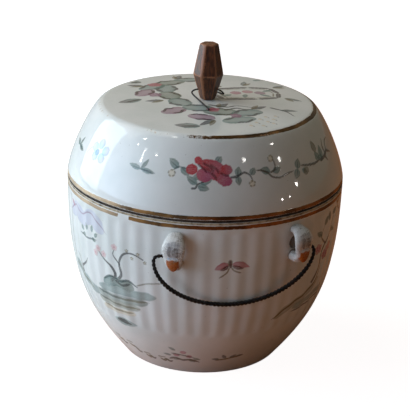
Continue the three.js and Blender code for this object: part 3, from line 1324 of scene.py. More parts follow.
@dataclass(frozen=True)
class DuckHeadLug:
    """A moulded loop whose front is a duck's head with its beak down.

    Attributes:
        name: The CAD node that it stands for.
        turn: Its angle from the front, in degrees.
        grain: Which unevenness it has.
        slip: Its colour.
        orange: Its beak's colour.
        shade: The colour of the painted shade inside its loop's tunnel.
    """

    name: str
    turn: float
    grain: float
    slip: Triple = linear(232, 230, 226)
    orange: Triple = linear(176, 88, 18)
    shade: Triple = linear(44, 32, 24)

    DEPTH = 6.6
    SIDES = 28
    VOXEL = 0.36

    def stations(self) -> list[tuple[float, float, float, float]]:
        """The loop's middle line and size: out, up, half width and half thickness."""
        upper, lower, head = TUNNEL + 14.5, TUNNEL - 3.8, self.DEPTH + 2.2
        return [
            (-2.5, upper - 1.4, 4.6, 2.9),
            (0.0, upper, 4.7, 2.9),
            (self.DEPTH / 2, upper + 0.2, 5.2, 2.9),
            (head - 1.7, upper - 1.9, 6.6, 2.9),
            (head + 0.3, upper - 6.0, 7.6, 2.6),
            (head, TUNNEL + 3.6, 6.7, 2.2),
            (head - 0.1, TUNNEL, 5.5, 2.2),
            (self.DEPTH - 1.8, TUNNEL - 3.7, 4.9, 3.6),
            (0.0, lower, 4.9, 3.8),
            (-2.5, lower, 5.2, 4.0),
        ]

    def oval(self, out: float, up: float, half_width: float, half_depth: float, lean: float) -> Array:
        """An oval ring across the loop's middle line, in mm as across, out and up."""
        angles = around(self.SIDES)
        across = half_width * np.sign(np.cos(angles)) * np.abs(np.cos(angles)) ** 0.9
        depth = half_depth * np.sin(angles)
        return np.stack([across, out + depth * cos(lean), up + depth * sin(lean)], -1)

    def body(self) -> tuple[Array, Faces]:
        """The loop and its beak as two overlapping closed bodies: their points in mm and their faces."""
        line = chained(self.stations(), 5)
        run = np.gradient(line[:, :2], axis=0)
        loop = [self.oval(*row, atan2(r[0], -r[1])) for row, r in zip(line, run)]
        beak = []
        for share in np.linspace(0, 0.985, 12):
            narrow = sqrt(1 - share**1.25)
            out, up = self.DEPTH + 2.5 + 0.5 * sin(share * 3), TUNNEL + 1.8 - share * 8.2
            beak.append(self.oval(out, up, 5.0 * narrow, 2.3 * narrow, 0.0))
        faces = loft_faces(len(loop), self.SIDES, 0)
        return np.vstack(loop + beak), faces + loft_faces(len(beak), self.SIDES, len(loop) * self.SIDES)

    def marks(self) -> list[Stroke]:
        """The painted marks on the head's front, in mm across and up from the tunnel's floor."""
        return [
            Stroke(Brush.WASH, [(0.0, 14.4), (0.4, 8.0), (0.2, 3.6)], 8.6, Tint.GREY, strength=0.72),
            Stroke(Brush.LINE, [(-1.4, 11.6), (-2.4, 7.6), (-1.8, 4.2)], 1.9, Tint.SLATE, strength=0.75),
            Stroke(Brush.LINE, [(1.6, 11.2), (2.6, 7.0), (2.2, 4.0)], 2.0, Tint.INK, strength=0.7),
            Stroke(Brush.LINE, [(0.2, 9.8), (0.6, 5.0)], 1.5, Tint.INK, strength=0.55),
            Stroke(Brush.LINE, [(-3.9, 2.9), (0.0, 3.5), (4.0, 2.9)], 1.1, Tint.SKY, strength=0.45),
        ]

    def colours(self, across: Array, out: Array, up: Array) -> Array:
        """What is painted on the lug.

        Args:
            across: How far each point lies across from the middle, in mm.
            out: How far it lies out from the wall.
            up: Its height.

        Returns:
            Rows of colour, and of how much grime and painted shade the point gets: most inside the tunnel,
            less next to the wall.
        """
        rise = up - TUNNEL
        colour = np.tile(np.array(self.slip), (len(up), 1))
        front = smooth(self.DEPTH + 1.0, self.DEPTH + 2.6, out)
        for number, stroke in enumerate(self.marks()):
            cover, tint = stroke.cover(np.stack([across, rise], -1), self.grain + number)
            cover = cover * (0.68 + 0.42 * ripple(self.grain + number, across * 1.9, up * 1.5))
            colour += (tint - colour) * (cover * front)[:, None]
        edge = 2.0 + 0.35 * np.cos(across * 1.2)
        beak = front * (1 - smooth(edge - 0.4, edge + 0.5, rise)) * (1 - smooth(3.7, 4.5, np.abs(across)))
        orange = np.array(self.orange) * (1 + 0.12 * ripple(self.grain, across, up)[:, None])
        colour += (orange - colour) * beak[:, None]
        # The loop's eye, its tunnel, is darkened towards the shade colour: painted shade.
        eye = smooth(-0.6, 0.2, rise) * (1 - smooth(11.0, 12.2, rise))
        eye = eye * (1 - smooth(self.DEPTH - 0.4, self.DEPTH + 0.5, out))
        colour += (np.array(self.shade) - colour) * (0.85 * eye)[:, None]
        # Grime and painted shade gather next to the wall and most inside the tunnel.
        grime_and_shade_share = 0.7 * (1 - smooth(0.0, 0.8, out)) + 1.4 * eye
        return np.column_stack([colour, np.clip(grime_and_shade_share, 0, 1)])

    def build(self, material: Material) -> Object:
        """Makes the lug: its bodies melt into one, which is then painted.

        Args:
            material: Its finish.

        Returns:
            The lug.
        """
        points, faces = self.body()
        lug = new_object(f"{self.name}_head", points * MM, faces)
        melt = lug.modifiers.new("melt", "REMESH")
        melt.mode = "VOXEL"
        melt.voxel_size = self.VOXEL * MM
        soften = lug.modifiers.new("soften", "SMOOTH")
        soften.factor = 0.5
        soften.iterations = 5
        evaluated(lug)
        place = np.empty(len(lug.data.vertices) * 3)
        lug.data.vertices.foreach_get("co", place)
        across, out, up = (place.reshape(-1, 3) / MM).T
        across = across * (1 + 0.1 * ripple(self.grain, across * 0.8, up * 0.6, out * 0.7) / 8)
        paint(lug, "Slip", self.colours(across, out, up))
        placed = np.stack([across, -(PotWall().profile.radius(TUNNEL) + out), up], -1) * MM
        lug.data.vertices.foreach_set("co", placed.ravel())
        lug.data.flip_normals()
        lug.data.transform(Matrix.Rotation(radians(self.turn), 4, "Z"))
        lug.data.shade_smooth()
        return finished(lug, material)


@dataclass(frozen=True)
class TwistedBail:
    """A wire handle of two strands twisted together, hooked into two lugs.

    Attributes:
        name: The CAD node that it stands for.
        turn: Its angle from the front, in degrees.
        strand: Each strand's diameter.
        pitch: The length of one full twist.
        fuller: How much thicker the bow is than the hooks.
    """

    name: str
    turn: float
    strand: float = 1.44
    pitch: float = 5.2
    fuller: float = 0.26

    DROP = 35.2
    LOWEST = -2.2
    ROUND = 3.4
    WIRE = 2.5
    GAP = 0.35
    STEP = 0.45
    LUG = radians(LUG_TURN)

    def reaches(self) -> Triple:
        """How far out to each side its hooks end, its left side hangs and its right side hangs."""
        wall = PotWall().profile.radius(TUNNEL)
        lug_side = (wall + 8.8) * sin(self.LUG) + 7.5 * cos(self.LUG)
        return (wall + 3.3) * sin(self.LUG) + 1.8, lug_side + 4.3, lug_side + 2.75

    def path(self) -> Array:
        """The bail's middle line in metres, hanging at the front."""
        profile = PotWall().profile
        hook, left, right = self.reaches()
        clear = self.WIRE / 2 + self.GAP
        hinge_up = TUNNEL + clear
        hinge_out = (profile.radius(hinge_up) + clear - hook * sin(self.LUG)) / cos(self.LUG)
        low_out = profile.radius(hinge_up - self.DROP) + clear + self.fuller * self.WIRE / 2
        lean = asin((low_out - hinge_out) / self.DROP)
        flat = [(-hook, 0.0)]
        for side, reach, fullness in ((-1, left, 1.9), (1, right, 1.7)):
            fall = np.sin(np.linspace(0, 1, 60) * np.pi / 2)
            x = self.LOWEST + (side * reach - self.LOWEST) * np.sqrt(1 - fall**fullness)
            bow = list(zip(x, self.ROUND + (self.DROP - self.ROUND) * fall))
            edge = side * reach
            corner = arc((edge - side * self.ROUND, 0.0), (edge, 0.0), (edge, self.ROUND), 8)[:-1]
            flat += corner + bow if side < 0 else (corner + bow)[::-1][1:]
        flat.append((hook, 0.0))
        x, drop = np.array(flat).T
        out, up = hinge_out + drop * sin(lean), hinge_up - drop * cos(lean)
        points = np.stack([x, -out, up], -1) * MM
        total = lengths(points)
        even = np.linspace(0, total[-1], int(total[-1] / MM / self.STEP))
        return np.stack([np.interp(even, total, side) for side in points.T], -1)

    def build(self, material: Material) -> Object:
        """Makes the strands, wound round the middle line.

        Args:
            material: Their finish.

        Returns:
            The bail.
        """
        line = self.path()
        run = np.gradient(line, axis=0)
        run /= np.linalg.norm(run, axis=1)[:, None]
        flat_side = np.cross(run, np.cross(line[0] - line[len(line) // 2], line[-1] - line[len(line) // 2]))
        flat_side /= np.linalg.norm(flat_side, axis=1)[:, None]
        other = np.cross(run, flat_side)
        spin = np.arange(len(line)) * self.STEP / self.pitch * 2 * np.pi
        share = np.linspace(0, 1, len(line))
        full = 1 + self.fuller * smooth(0.09, 0.2, share) * smooth(0.09, 0.2, 1 - share)
        lay = (self.WIRE / 2 - self.strand / 2) * MM * full[:, None]
        points, faces = [], []
        for start in (0, 180):
            turn = spin + radians(start)
            path = line + lay * (np.cos(turn)[:, None] * flat_side + np.sin(turn)[:, None] * other)
            verts, sides = tube(path, self.strand / 2 * full, 10)
            offset = sum(map(len, points))
            points.append(verts)
            faces += [tuple(corner + offset for corner in face) for face in sides]
        bail = new_object(f"{self.name}_twist", np.vstack(points), faces)
        bail.data.transform(Matrix.Rotation(radians(self.turn), 4, "Z"))
        return finished(bail, material)


@dataclass(frozen=True)
class WoodenKnob:
    """The carved six-sided wooden knob.

    Attributes:
        base: The height of its foot.
        foot: Its corner radius at the foot.
        belt: Its corner radius at its widest.
        belt_up: How far up its widest is.
        crown: Its corner radius at the top.
        tall: Its whole height.
        bevels: How far each corner is worn away, from the front left one on.
        bore_up: How far up the wire goes through.
        bore_radius: That bore's radius.
    """

    base: float = RING_HEIGHT + DOME_HEIGHT + SEAT
    foot: float = 5.2
    belt: float = 10.4
    belt_up: float = 17.2
    crown: float = 6.4
    tall: float = 38.6
    bevels: tuple[float, ...] = (1.15, 0.4, 0.5, 0.35, 0.45, 0.4)
    bore_up: float = 6.0
    bore_radius: float = 1.3

    def outline(self, radius: float, share: float) -> tuple[Array, Array]:
        """One level of the knob.

        Args:
            radius: Its corner radius.
            share: How much of each bevel there is at this level.

        Returns:
            Its points across, and how close each is to a worn corner.
        """
        turns = [radians(FRONT_TURN - 30 + 60 * k) for k in range(6)]
        corners = [Vector((sin(turn), -cos(turn))) * radius for turn in turns]
        points, worn = [], []
        for k, corner in enumerate(corners):
            before = (corners[k - 1] - corner).normalized()
            after = (corners[(k + 1) % 6] - corner).normalized()
            cut = self.bevels[k] * share
            for along in np.linspace(0, 1, 5):
                points.append(corner + before * cut * (1 - along) ** 1.3 + after * cut * along**1.3)
                worn.append(1.0)
            reach = corners[(k + 1) % 6] - after * self.bevels[(k + 1) % 6] * share
            start = corner + after * cut
            for along in (0.04, 0.12, 0.3, 0.5, 0.7, 0.88, 0.96):
                points.append(start.lerp(reach, along))
                worn.append(max(0.0, 1 - min(along, 1 - along) / 0.13) * 0.7)
        return np.array([tuple(p) for p in points]), np.array(worn)

    def build(self, material: Material) -> Object:
        """Makes the knob and bores it.

        Args:
            material: Its finish.

        Returns:
            The knob.
        """
        levels = [(0.0, self.foot - 0.5), (0.35, self.foot)]
        for up in np.linspace(1.6, self.belt_up - 0.7, 9):
            levels.append((up, self.foot + (self.belt - self.foot) * up / self.belt_up))
        levels += [(self.belt_up - 0.25, self.belt - 0.12), (self.belt_up + 0.25, self.belt - 0.1)]
        for up in np.linspace(self.belt_up + 0.9, self.tall - 1.4, 12):
            share = (up - self.belt_up) / (self.tall - self.belt_up)
            levels.append((up, self.belt + (self.crown - self.belt) * share))
        for under, wider in ((0.75, 0.05), (0.3, -0.4), (0.05, -1.1)):
            levels.append((self.tall - under, self.crown + wider))
        levels += [(self.tall, self.crown * share) for share in (0.6, 0.3)]
        rows, edges = [], []
        for up, radius in levels:
            flat, worn = self.outline(radius, 0.55 + 0.45 * min(up / self.belt_up, 1))
            hand = 1 + 0.006 * ripple(3.1, *(flat * 0.35).T, np.full(len(flat), up * 0.18))
            rows.append(np.column_stack([flat * hand[:, None], np.full(len(flat), self.base + up)]) * MM)
            belt = exp(-(((up - self.belt_up) / 0.9) ** 2)) * 0.8
            rubbed = 0.85 if radius > self.crown * 0.7 else 0.5
            edges.append(np.maximum(worn, max(belt, smooth(self.tall - 2.2, self.tall - 0.5, up) * rubbed)))
        knob = lathe("knob_hardwood", rows, self.base, self.base + self.tall)
        worn = np.concatenate([[0.0], *edges, [0.4]])
        paint(knob, "Wear", np.column_stack([worn, worn, worn, worn]))
        across = radians(FRONT_TURN + 90)
        middle = Vector((0, 0, (self.base + self.bore_up) * MM))
        bore(knob, middle, Vector((sin(across), -cos(across), 0)), self.bore_radius, 24)
        return finished(knob, material)


@dataclass(frozen=True)
class TieWire:
    """The single wire that ties the knob down through two holes in the lid.

    Attributes:
        lid: The lid that it goes through.
        knob: The knob that it goes through.
        wire: Its diameter.
    """

    lid: Lid
    knob: WoodenKnob
    wire: float = 1.1

    def half(self) -> list[Vector]:
        """The knots of the half that comes up at the front."""
        hole = Vector(ring(self.lid.hole_run, 0, radians(self.lid.hole_turn))) / MM
        across = radians(FRONT_TURN + 90)
        side = Vector((-sin(across), cos(across), 0))
        top = self.lid.top.height(self.lid.hole_run)
        under = top - self.lid.thickness - self.wire
        level = self.knob.base + self.knob.bore_up
        share = self.knob.bore_up / self.knob.belt_up
        inside = self.knob.foot + (self.knob.belt - self.knob.foot) * share
        bend = side * (inside + 3.6)
        up = Vector((0, 0, 1))
        inwards = -hole.normalized()
        return [
            hole + inwards * 6 + up * (under - self.wire),
            hole + inwards * 1.5 + up * (under - self.wire / 2),
            hole + up * (under + self.wire),
            hole + up * top,
            hole.lerp(bend, 0.06) + up * (top + self.wire / 2 + 0.5),
            hole.lerp(bend, 0.5) + up * (top + level - 2.1) / 2,
            bend + up * (level - 2.6),
            side * (inside + 1.2) + up * level,
            side * (inside / 2) + up * level,
        ]

    def build(self, material: Material) -> Object:
        """Makes the wire.

        Args:
            material: Its finish.

        Returns:
            The wire.
        """
        half = self.half()
        turned = [Vector((-k.x, -k.y, k.z)) for k in reversed(half)]
        path = chained([tuple(k) for k in half + turned], 12)
        size = self.wire / 2 * (1 + 0.03 * ripple(8.2, lengths(path) * 0.7))
        return finished(new_object("knob_tie_wire_iron", *tube(path * MM, size, 12)), material)


class WallPainter:
    """Paints motifs on one wall, with places given as degrees round and mm up."""

    def __init__(self, name: str, wall: PotWall, spacing: float) -> None:
        """Starts the layer.

        Args:
            name: The piece's name.
            wall: The wall.
            spacing: How far apart the relief's points are, in mm.
        """
        self.wall = wall
        self.layer = EnamelLayer(name, wall, spacing)
        self.motif = Motif((0.0, 0.0))
        self.shift = 0.0

    def start(self, place: Point) -> None:
        """Lays the last motif on the wall, and begins one at a place."""
        if self.motif.strokes:
            self.layer.lay(self.motif)
        self.motif = Motif((place[0] + self.shift, place[1]))

    def local(self, spot: Point) -> Point:
        """Turns degrees and mm up into mm across and up from the motif's middle."""
        middle = self.motif.place[1]
        out, _ = self.wall.profile.outward(middle)
        turn = radians(spot[0] + self.shift - self.motif.place[0])
        return turn * self.wall.profile.radius(middle), (spot[1] - middle) / out

    def line(
        self, spots: Sequence[Point], width: float, tint: Tint, brush: Brush = Brush.LINE, **more: object
    ) -> None:
        """Draws a stroke through places."""
        self.motif.add(brush, [self.local(spot) for spot in spots], width, tint, **more)

    def leaves(self, rows: Sequence[Sequence[float]], tint: Tint = Tint.TEAL, vein: bool = True) -> None:
        """Draws leaves from their roots.

        Args:
            rows: For each leaf its root's degrees and mm up, its angle, its length and its width.
            tint: Their colour.
            vein: Whether they have a darker vein.
        """
        for turn, up, angle, length, width in rows:
            root = self.local((turn, up))
            tip = Tint.LEAF if tint is Tint.TEAL else tint
            self.motif.leaf(root, angle, length, width, tint, tip=tip, strength=0.72)
            if vein:
                self.motif.leaf(root, angle + 4, length * 0.8, 0.8, Tint.DEEP_TEAL, strength=0.5)

    def blob(self, spot: Point, *rest: object, **more: object) -> None:
        """Draws a round lobe with its middle at a place, and its angle, length, width and tint after it."""
        self.motif.dab(self.local(spot), *rest, **more)

    def petals(self, spot: Point, first: int, reach: Point, size: Point, tint: Tint, **more: object) -> None:
        """Draws five petals round a place.

        Args:
            spot: The flower's middle.
            first: The first petal's angle.
            reach: How far out the petals' middles are, in degrees round and in mm up.
            size: Their length and width.
            tint: Their colour.
            more: What else their strokes have.
        """
        for angle in range(first, first + 360, 72):
            turn = radians(angle)
            place = (spot[0] + reach[0] * cos(turn), spot[1] + reach[1] * sin(turn))
            self.blob(place, angle, *size, tint, **more)

    def bud(self, spot: Point, size: float, tint: Tint = Tint.OLIVE) -> None:
        """Draws an open bud: a pale dab inside an uneven ring of short strokes.

        Args:
            spot: Its middle.
            size: Its width.
            tint: The ring's colour.
        """
        x, y = self.local(spot)
        self.motif.dab((x, y), 0, size / 1.5, size * 0.8, Tint.SAND, strength=0.4)
        reach = size * 0.34
        for number in range(5):
            turns = [number * 1.26 + 0.4 + side for side in (-0.5, 0, 0.5)]
            ends = [(x + cos(turn) * reach, y + sin(turn) * reach * 0.9) for turn in turns]
            self.motif.add(Brush.LINE, ends, 0.9, tint, strength=0.62)

    def paint(self) -> None:
        """Paints one half of the wall; each wall has its own."""
        raise NotImplementedError

    def build(self, material: Material) -> Object:
        """Paints both halves of the wall alike.

        Args:
            material: The enamel.

        Returns:
            The painting as one piece.
        """
        for shift in (0.0, 180.0):
            self.shift = shift
            self.paint()
        self.start((0.0, 0.0))
        return self.layer.build(material)


class LidPainting(WallPainter):
    """The rose spray and trailing vine round the lid's shoulder."""

    def rose(self) -> None:
        """A peony-like rose with leaves and two buds."""
        self.start((-13, 156))
        self.leaves((
            (-25.6, 158.6, 142, 9.2, 5),
            (-24.6, 159.2, -42, 7.4, 4.2),
            (-9.6, 162.6, 48, 5.4, 4.6),
            (-15.2, 154.4, 178, 6.2, 4.4),
            (-17.4, 150, 144, 8.6, 4.4),
            (-17.2, 149, -14, 7.6, 4.6),
            (-16, 150.8, 22, 8, 4.2),
        ))
        self.line([(-28, 157.2), (-25.6, 159.4), (-22, 158.6)], 0.8, Tint.DEEP_TEAL, strength=0.6)
        self.line([(-19.4, 147.4), (-18, 147.9), (-17, 150.2), (-13.8, 152)], 1.2, Tint.INK, Brush.TWIG)
        self.bud((-28.4, 155.4), 6.4)
        solid = {"strength": 1.15, "rim": 0.12}
        self.blob((-14.6, 155.6), -20, 10, 8.6, Tint.ROSE, tip=Tint.PINK, **solid)
        crown = [(-17, 162.4), (-12.4, 161), (-5.6, 158.4)]
        self.line(crown, 7.8, Tint.RED, Brush.DAB, tip=Tint.ROSE, **solid)
        for spot, angle, length, width, tint, tip in (
            ((-9.4, 155.8), -25, 8.4, 7.4, Tint.ROSE, Tint.RED),
            ((-6.2, 152.6), -18, 9.6, 7.6, Tint.ROSE, Tint.PINK),
            ((-5.2, 158.8), -15, 7.6, 6.4, Tint.RED, Tint.ROSE),
            ((-20, 158.4), 5, 7.6, 6.8, Tint.RED, Tint.RED),
            ((-17.4, 163.8), -30, 5.4, 4.8, Tint.RED, Tint.RED),
        ):
            self.blob(spot, angle, length, width, tint, tip=tip, **solid)
        for spots in (
            [(-17.6, 161.6), (-14.8, 158.8), (-13.6, 156.8)],
            [(-15.6, 162.6), (-12, 160), (-10.4, 157.4)],
            [(-12.4, 161.8), (-9.4, 158.8), (-8.6, 156.4)],
            [(-11.8, 156.6), (-10, 154.6), (-9.6, 152.6)],
            [(-8, 157), (-5.6, 155.4), (-4, 155.4)],
        ):
            self.line(spots, 1.3, Tint.WINE, strength=0.7)
        self.blob((-12.6, 158), -30, 7, 2.6, Tint.WINE, strength=0.35)

    def vine(self) -> None:
        """The long stem that trails to the right of a rose."""
        self.start((2, 154))
        self.leaves(((-0.6, 154.8, 80, 6.2, 4.4), (-0.6, 154.8, -84, 6.2, 4), (5.2, 154.8, 58, 5.6, 4.2)))
        stem = [(-3.4, 154.2), (-1, 154.6), (2.2, 156.6), (4.6, 155), (5.6, 151.6), (4.4, 150.2)]
        self.line(stem, 1.4, Tint.INK, Brush.TWIG)
        self.bud((5.4, 150), 5.6)
        self.start((15, 156))
        self.leaves(((14.2, 155.4, 160, 7.4, 5), (15.4, 155, 20, 7, 4.4)))
        stem = [(7, 157.4), (10, 157), (13, 155), (15, 152.4), (18.6, 151.4), (23, 152.8), (26.8, 153.4)]
        self.line(stem, 1.1, Tint.UMBER)
        self.line([(14.6, 155.2), (16.6, 156.6), (17, 160), (16, 165)], 1.1, Tint.UMBER, Brush.TWIG)
        self.bud((15.4, 163), 5.6)
        self.start((30, 153.6))
        self.leaves(((28.4, 153.8, 66, 7, 5), (28.6, 153.8, -118, 7, 5), (31, 152.6, -30, 4.8, 3.6)))
        self.blob((33.4, 151.2), 40, 5.8, 4.4, Tint.OLIVE, strength=0.66)
        self.line([(30.6, 155.2), (35, 154.2), (40, 153.4), (44, 154), (48, 153.6)], 1.3, Tint.UMBER)
        self.start((47, 155.4))
        self.leaves(((44.4, 153.4, 112, 7.6, 5.4), (47, 153.8, 82, 9.4, 5.2), (47.8, 153.2, 152, 7, 4.6)))
        self.leaves([(43.6, 159, 100, 8.6, 5.4)], Tint.OLIVE, vein=False)
        for spots, width in (
            ([(46, 153.4), (50, 154.4), (53, 156.4), (55.4, 161.4), (59, 162.6)], 2),
            ([(50.2, 154.6), (52, 150.6)], 1.8),
            ([(53.4, 156.6), (57.4, 154)], 1.8),
            ([(51.4, 155.4), (51, 160), (53, 164)], 1.6),
        ):
            self.line(spots, width, Tint.UMBER, Brush.TWIG)

    def blue_flower(self) -> None:
        """A pale blue flower with outlined petals."""
        middle = (-68, 157)
        self.start(middle)
        self.petals(middle, 20, (4.2, 4.4), (6.8, 6), Tint.SKY, tip=Tint.LAVENDER, strength=0.62, rim=0.4)
        self.blob((-69.4, 155.6), 60, 4.6, 4, Tint.BLUE, strength=0.7)
        self.line([(-73.4, 158), (-76, 155), (-77.4, 150.6)], 0.8, Tint.LAVENDER, strength=0.6)

    def sprig(self, middle: Point) -> None:
        """Three leaves on a short stem.

        Args:
            middle: Where they meet.
        """
        self.start(middle)
        self.leaves([(*middle, 170, 9.6, 3.4)])
        self.leaves([(*middle, 58, 8.4, 2.6)], Tint.LEAF)
        self.leaves([(*middle, -8, 10.6, 3.2)])
        x, z = middle
        self.line([(x - 0.6, z), (x + 6, z - 1.4)], 0.9, Tint.DEEP_TEAL, strength=0.7)

    def paint(self) -> None:
        """Paints one half of the shoulder."""
        self.rose()
        self.vine()
        self.blue_flower()
        self.sprig((-42.4, 155))
        self.sprig((-88, 152.6))


class PotPainting(WallPainter):
    """The pot's garden, butterfly and sprigs."""

    def butterfly(self) -> None:
        """A butterfly with spread wings."""
        self.start((-3.2, 95))
        for spots, width, tint in (
            ([(-3.8, 97.6), (-6.2, 96.8), (-9.6, 93.8)], 4.4, Tint.ROSE),
            ([(-2.6, 97.6), (0.4, 97.4), (4.8, 94.8)], 4.2, Tint.ROSE),
            ([(-3.8, 96.6), (-5.6, 94.6), (-7.4, 93.4)], 2.6, Tint.WINE),
            ([(-2.6, 96.6), (-0.4, 95.2), (2.4, 94.2)], 2.6, Tint.WINE),
        ):
            self.line(spots, width, tint, Brush.LEAF, strength=0.8)
        self.blob((-3.4, 98.6), 90, 5, 3, Tint.OLIVE, strength=0.6)
        self.line([(-3.4, 100.4), (-3.2, 97), (-3.1, 94.8)], 1.4, Tint.WINE)
        self.line([(-3.6, 95.4), (-4.6, 91.6), (-7.8, 87.8)], 0.9, Tint.OLIVE, strength=0.8)
        self.line([(-2.8, 95.4), (-1.6, 93), (1.4, 91)], 0.9, Tint.OLIVE, strength=0.8)

    def far_hill(self) -> None:
        """A far hill, with a tuft of leaves in front of it."""
        self.start((-66, 112))
        slope = [(-84, 108), (-78, 113.4), (-72, 110), (-65, 114), (-58, 106)]
        self.line(slope, 11, Tint.LAVENDER, Brush.WASH, strength=0.26)
        ridge = [(-86, 107), (-79, 115.6), (-73, 112.4), (-66, 116.4), (-56, 106.6)]
        self.line(ridge, 0.8, Tint.MAUVE, strength=0.6)
        self.line([(-83, 118), (-80, 112.6)], 1.8, Tint.ROSE, Brush.LEAF, strength=0.6)
        self.start((-67, 102))
        rows = (
            (-72, 101, 130, 5, 2.8),
            (-69, 103, 100, 6.4, 2.8),
            (-66, 103, 78, 6, 2.8),
            (-64, 101, 40, 5.2, 2.8),
            (-70, 99.4, 190, 5.4, 2.8),
            (-66, 99, -12, 5.6, 2.8),
        )
        self.leaves(rows, vein=False)
        self.line([(-75, 98.6), (-69, 97.6), (-62, 99.4)], 1.1, Tint.DEEP_TEAL, strength=0.7)

    def plum(self) -> None:
        """A flowering plum and a willow shoot on a rock."""
        self.start((-52, 84))
        for spots, width in (
            ([(-54.6, 74), (-52.4, 79), (-54.6, 85), (-58.6, 88), (-61.4, 92.6)], 2),
            ([(-51.8, 75), (-49, 81), (-49.8, 89), (-47.4, 96.6), (-42.6, 98.4), (-38.4, 95.8)], 1.9),
            ([(-49.6, 88), (-53, 93.6), (-52, 98.4)], 1),
        ):
            self.line(spots, width, Tint.INK, Brush.TWIG)
        for spot in ((-61.6, 94), (-58.4, 91.4), (-63.4, 90.2), (-52.2, 99.4)):
            self.petals(spot, 90, (0.9, 1.3), (2.6, 2.2), Tint.BLUSH, strength=0.8)
            self.blob(spot, 0, 1.1, 1.1, Tint.ROSE, strength=0.7)
        for spot in ((-46, 99.6), (-43.4, 95.2), (-40.6, 99.2), (-37.6, 94)):
            self.bud(spot, 2.6)
        self.start((-50, 73))
        rock = [(-60, 69), (-55, 73.4), (-49, 73.8), (-43, 72)]
        self.line(rock, 8.4, Tint.TEAL, Brush.WASH, tip=Tint.LEAF, strength=0.72)
        self.line([(-60, 72.4), (-55, 77.2), (-50, 75.4), (-46, 77.6), (-41, 74.2)], 1.4, Tint.DEEP_TEAL)
        self.line([(-53, 75), (-49, 73), (-45, 75.4)], 1.6, Tint.INK, strength=0.7)
        self.line([(-42, 75.6), (-36, 79.4), (-30, 81)], 0.9, Tint.OLIVE, strength=0.6)

    def shore(self) -> None:
        """Banks of water and grass, and a bare shrub at their left."""
        self.start((-50, 62))
        for spots, width, tint in (
            ([(-64, 66), (-52, 67.4), (-33, 69.4)], 6.4, Tint.TEAL),
            ([(-66, 61), (-54, 60.6), (-37, 63.2)], 6, Tint.LEAF),
            ([(-66, 55.6), (-54, 55.8), (-41, 57.6)], 5.4, Tint.MOSS),
            ([(-64, 50.6), (-55, 50), (-44, 51.6)], 4.6, Tint.SAND),
        ):
            self.line(spots, width, tint, Brush.WASH, strength=0.55)
        for spots, tint in (
            ([(-66, 62.4), (-54, 61.4), (-36, 64.4)], Tint.DEEP_TEAL),
            ([(-67, 57.8), (-54, 55.8), (-41, 57.4)], Tint.DEEP_TEAL),
            ([(-62, 52.4), (-54, 50.8), (-45, 52.2)], Tint.OLIVE),
        ):
            self.line(spots, 1.5, tint, tip=Tint.OLIVE, strength=0.62)
        self.start((-76, 76))
        self.line([(-76, 68.6), (-77.4, 75), (-81, 80)], 1.2, Tint.INK, Brush.TWIG)
        self.line([(-76.8, 72), (-72.6, 77.4), (-70.6, 81.6)], 1.4, Tint.INK, Brush.TWIG)
        slope = [(-84, 74), (-77, 66), (-70, 61), (-64, 58.6)]
        self.line(slope, 6.6, Tint.TEAL, Brush.WASH, strength=0.5)
        self.line([(-83, 72), (-76, 64.6), (-68, 59.6)], 1.2, Tint.OLIVE, strength=0.7)
        self.leaves([(-84.6, 88, -70, 5, 2.4)], Tint.INK, vein=False)

    def floating_leaf_and_loop_shade(self) -> None:
        """A leaf that floats under the shore, and dark dabs of painted shade on the wall behind this half's
        two loops.
        """
        self.start((-52, 42))
        self.line([(-58.6, 42), (-52, 41.8), (-44.6, 41.6)], 6.8, Tint.TEAL, Brush.LEAF, strength=0.5)
        self.line([(-57, 42.4), (-52.6, 42), (-47.4, 41.2)], 3.6, Tint.INK, Brush.LEAF, strength=0.85)
        # Painted shade: the wall seen through each loop's tunnel is darkened.
        for turn in (-LUG_TURN, LUG_TURN):
            self.start((turn, 107))
            self.blob((turn, 107), 90, 9, 9.4, Tint.INK, strength=0.8)

    def ground(self) -> None:
        """A broken ground line and two small flowers over the foot."""
        self.start((-50, 16))
        for x, z, right, low in (
            (-67, 21, -60, 16.4),
            (-58, 19.4, -50, 13),
            (-48, 13, -41, 10.6),
            (-38, 13.4, -30, 11.2),
        ):
            middle = ((x + right) / 2, (z + low) / 2 + 1)
            bend = [(x, z), (x + 2.4, z - 2.2), middle, (right - 2, low + 0.2), (right, low + 1.6)]
            self.line(bend, 2, Tint.OLIVE, tip=Tint.UMBER, strength=0.9)
            self.line([(x - 1, z + 1.4), (x + 4, z + 1.8)], 1.4, Tint.OLIVE, strength=0.8)
        self.start((-24, 21))
        for spot in ((-27, 20), (-23, 23.6), (-20, 19.6)):
            self.blob(spot, 10, 4.4, 3.6, Tint.ROSE, tip=Tint.PINK, strength=0.66)
        spots = ((-30, 19, 172), (-18, 18, -20), (-25, 16.4, 200), (-20.6, 16, -30), (-27, 24.6, 140))
        self.leaves([(*spot, 6, 2.6) for spot in spots], Tint.LEAF, vein=False)
        self.line([(-32, 14.4), (-28, 16.8), (-24, 15), (-19, 16), (-14, 13.4)], 2, Tint.UMBER)
        self.line([(-30, 21.4), (-24, 20.6), (-17, 18.6)], 1.4, Tint.UMBER, strength=0.8)
        self.start((1, 17.4))
        spots = ((-3, 16.6, 168), (0.4, 17.4, 118), (2.6, 17.6, 40), (5.8, 18.4, 12))
        self.leaves([(*spot, 6, 2.6) for spot in spots], Tint.DEEP_TEAL, vein=False)
        self.line([(-5.4, 15.6), (1, 16.8), (9.4, 18.8)], 1.6, Tint.OLIVE)

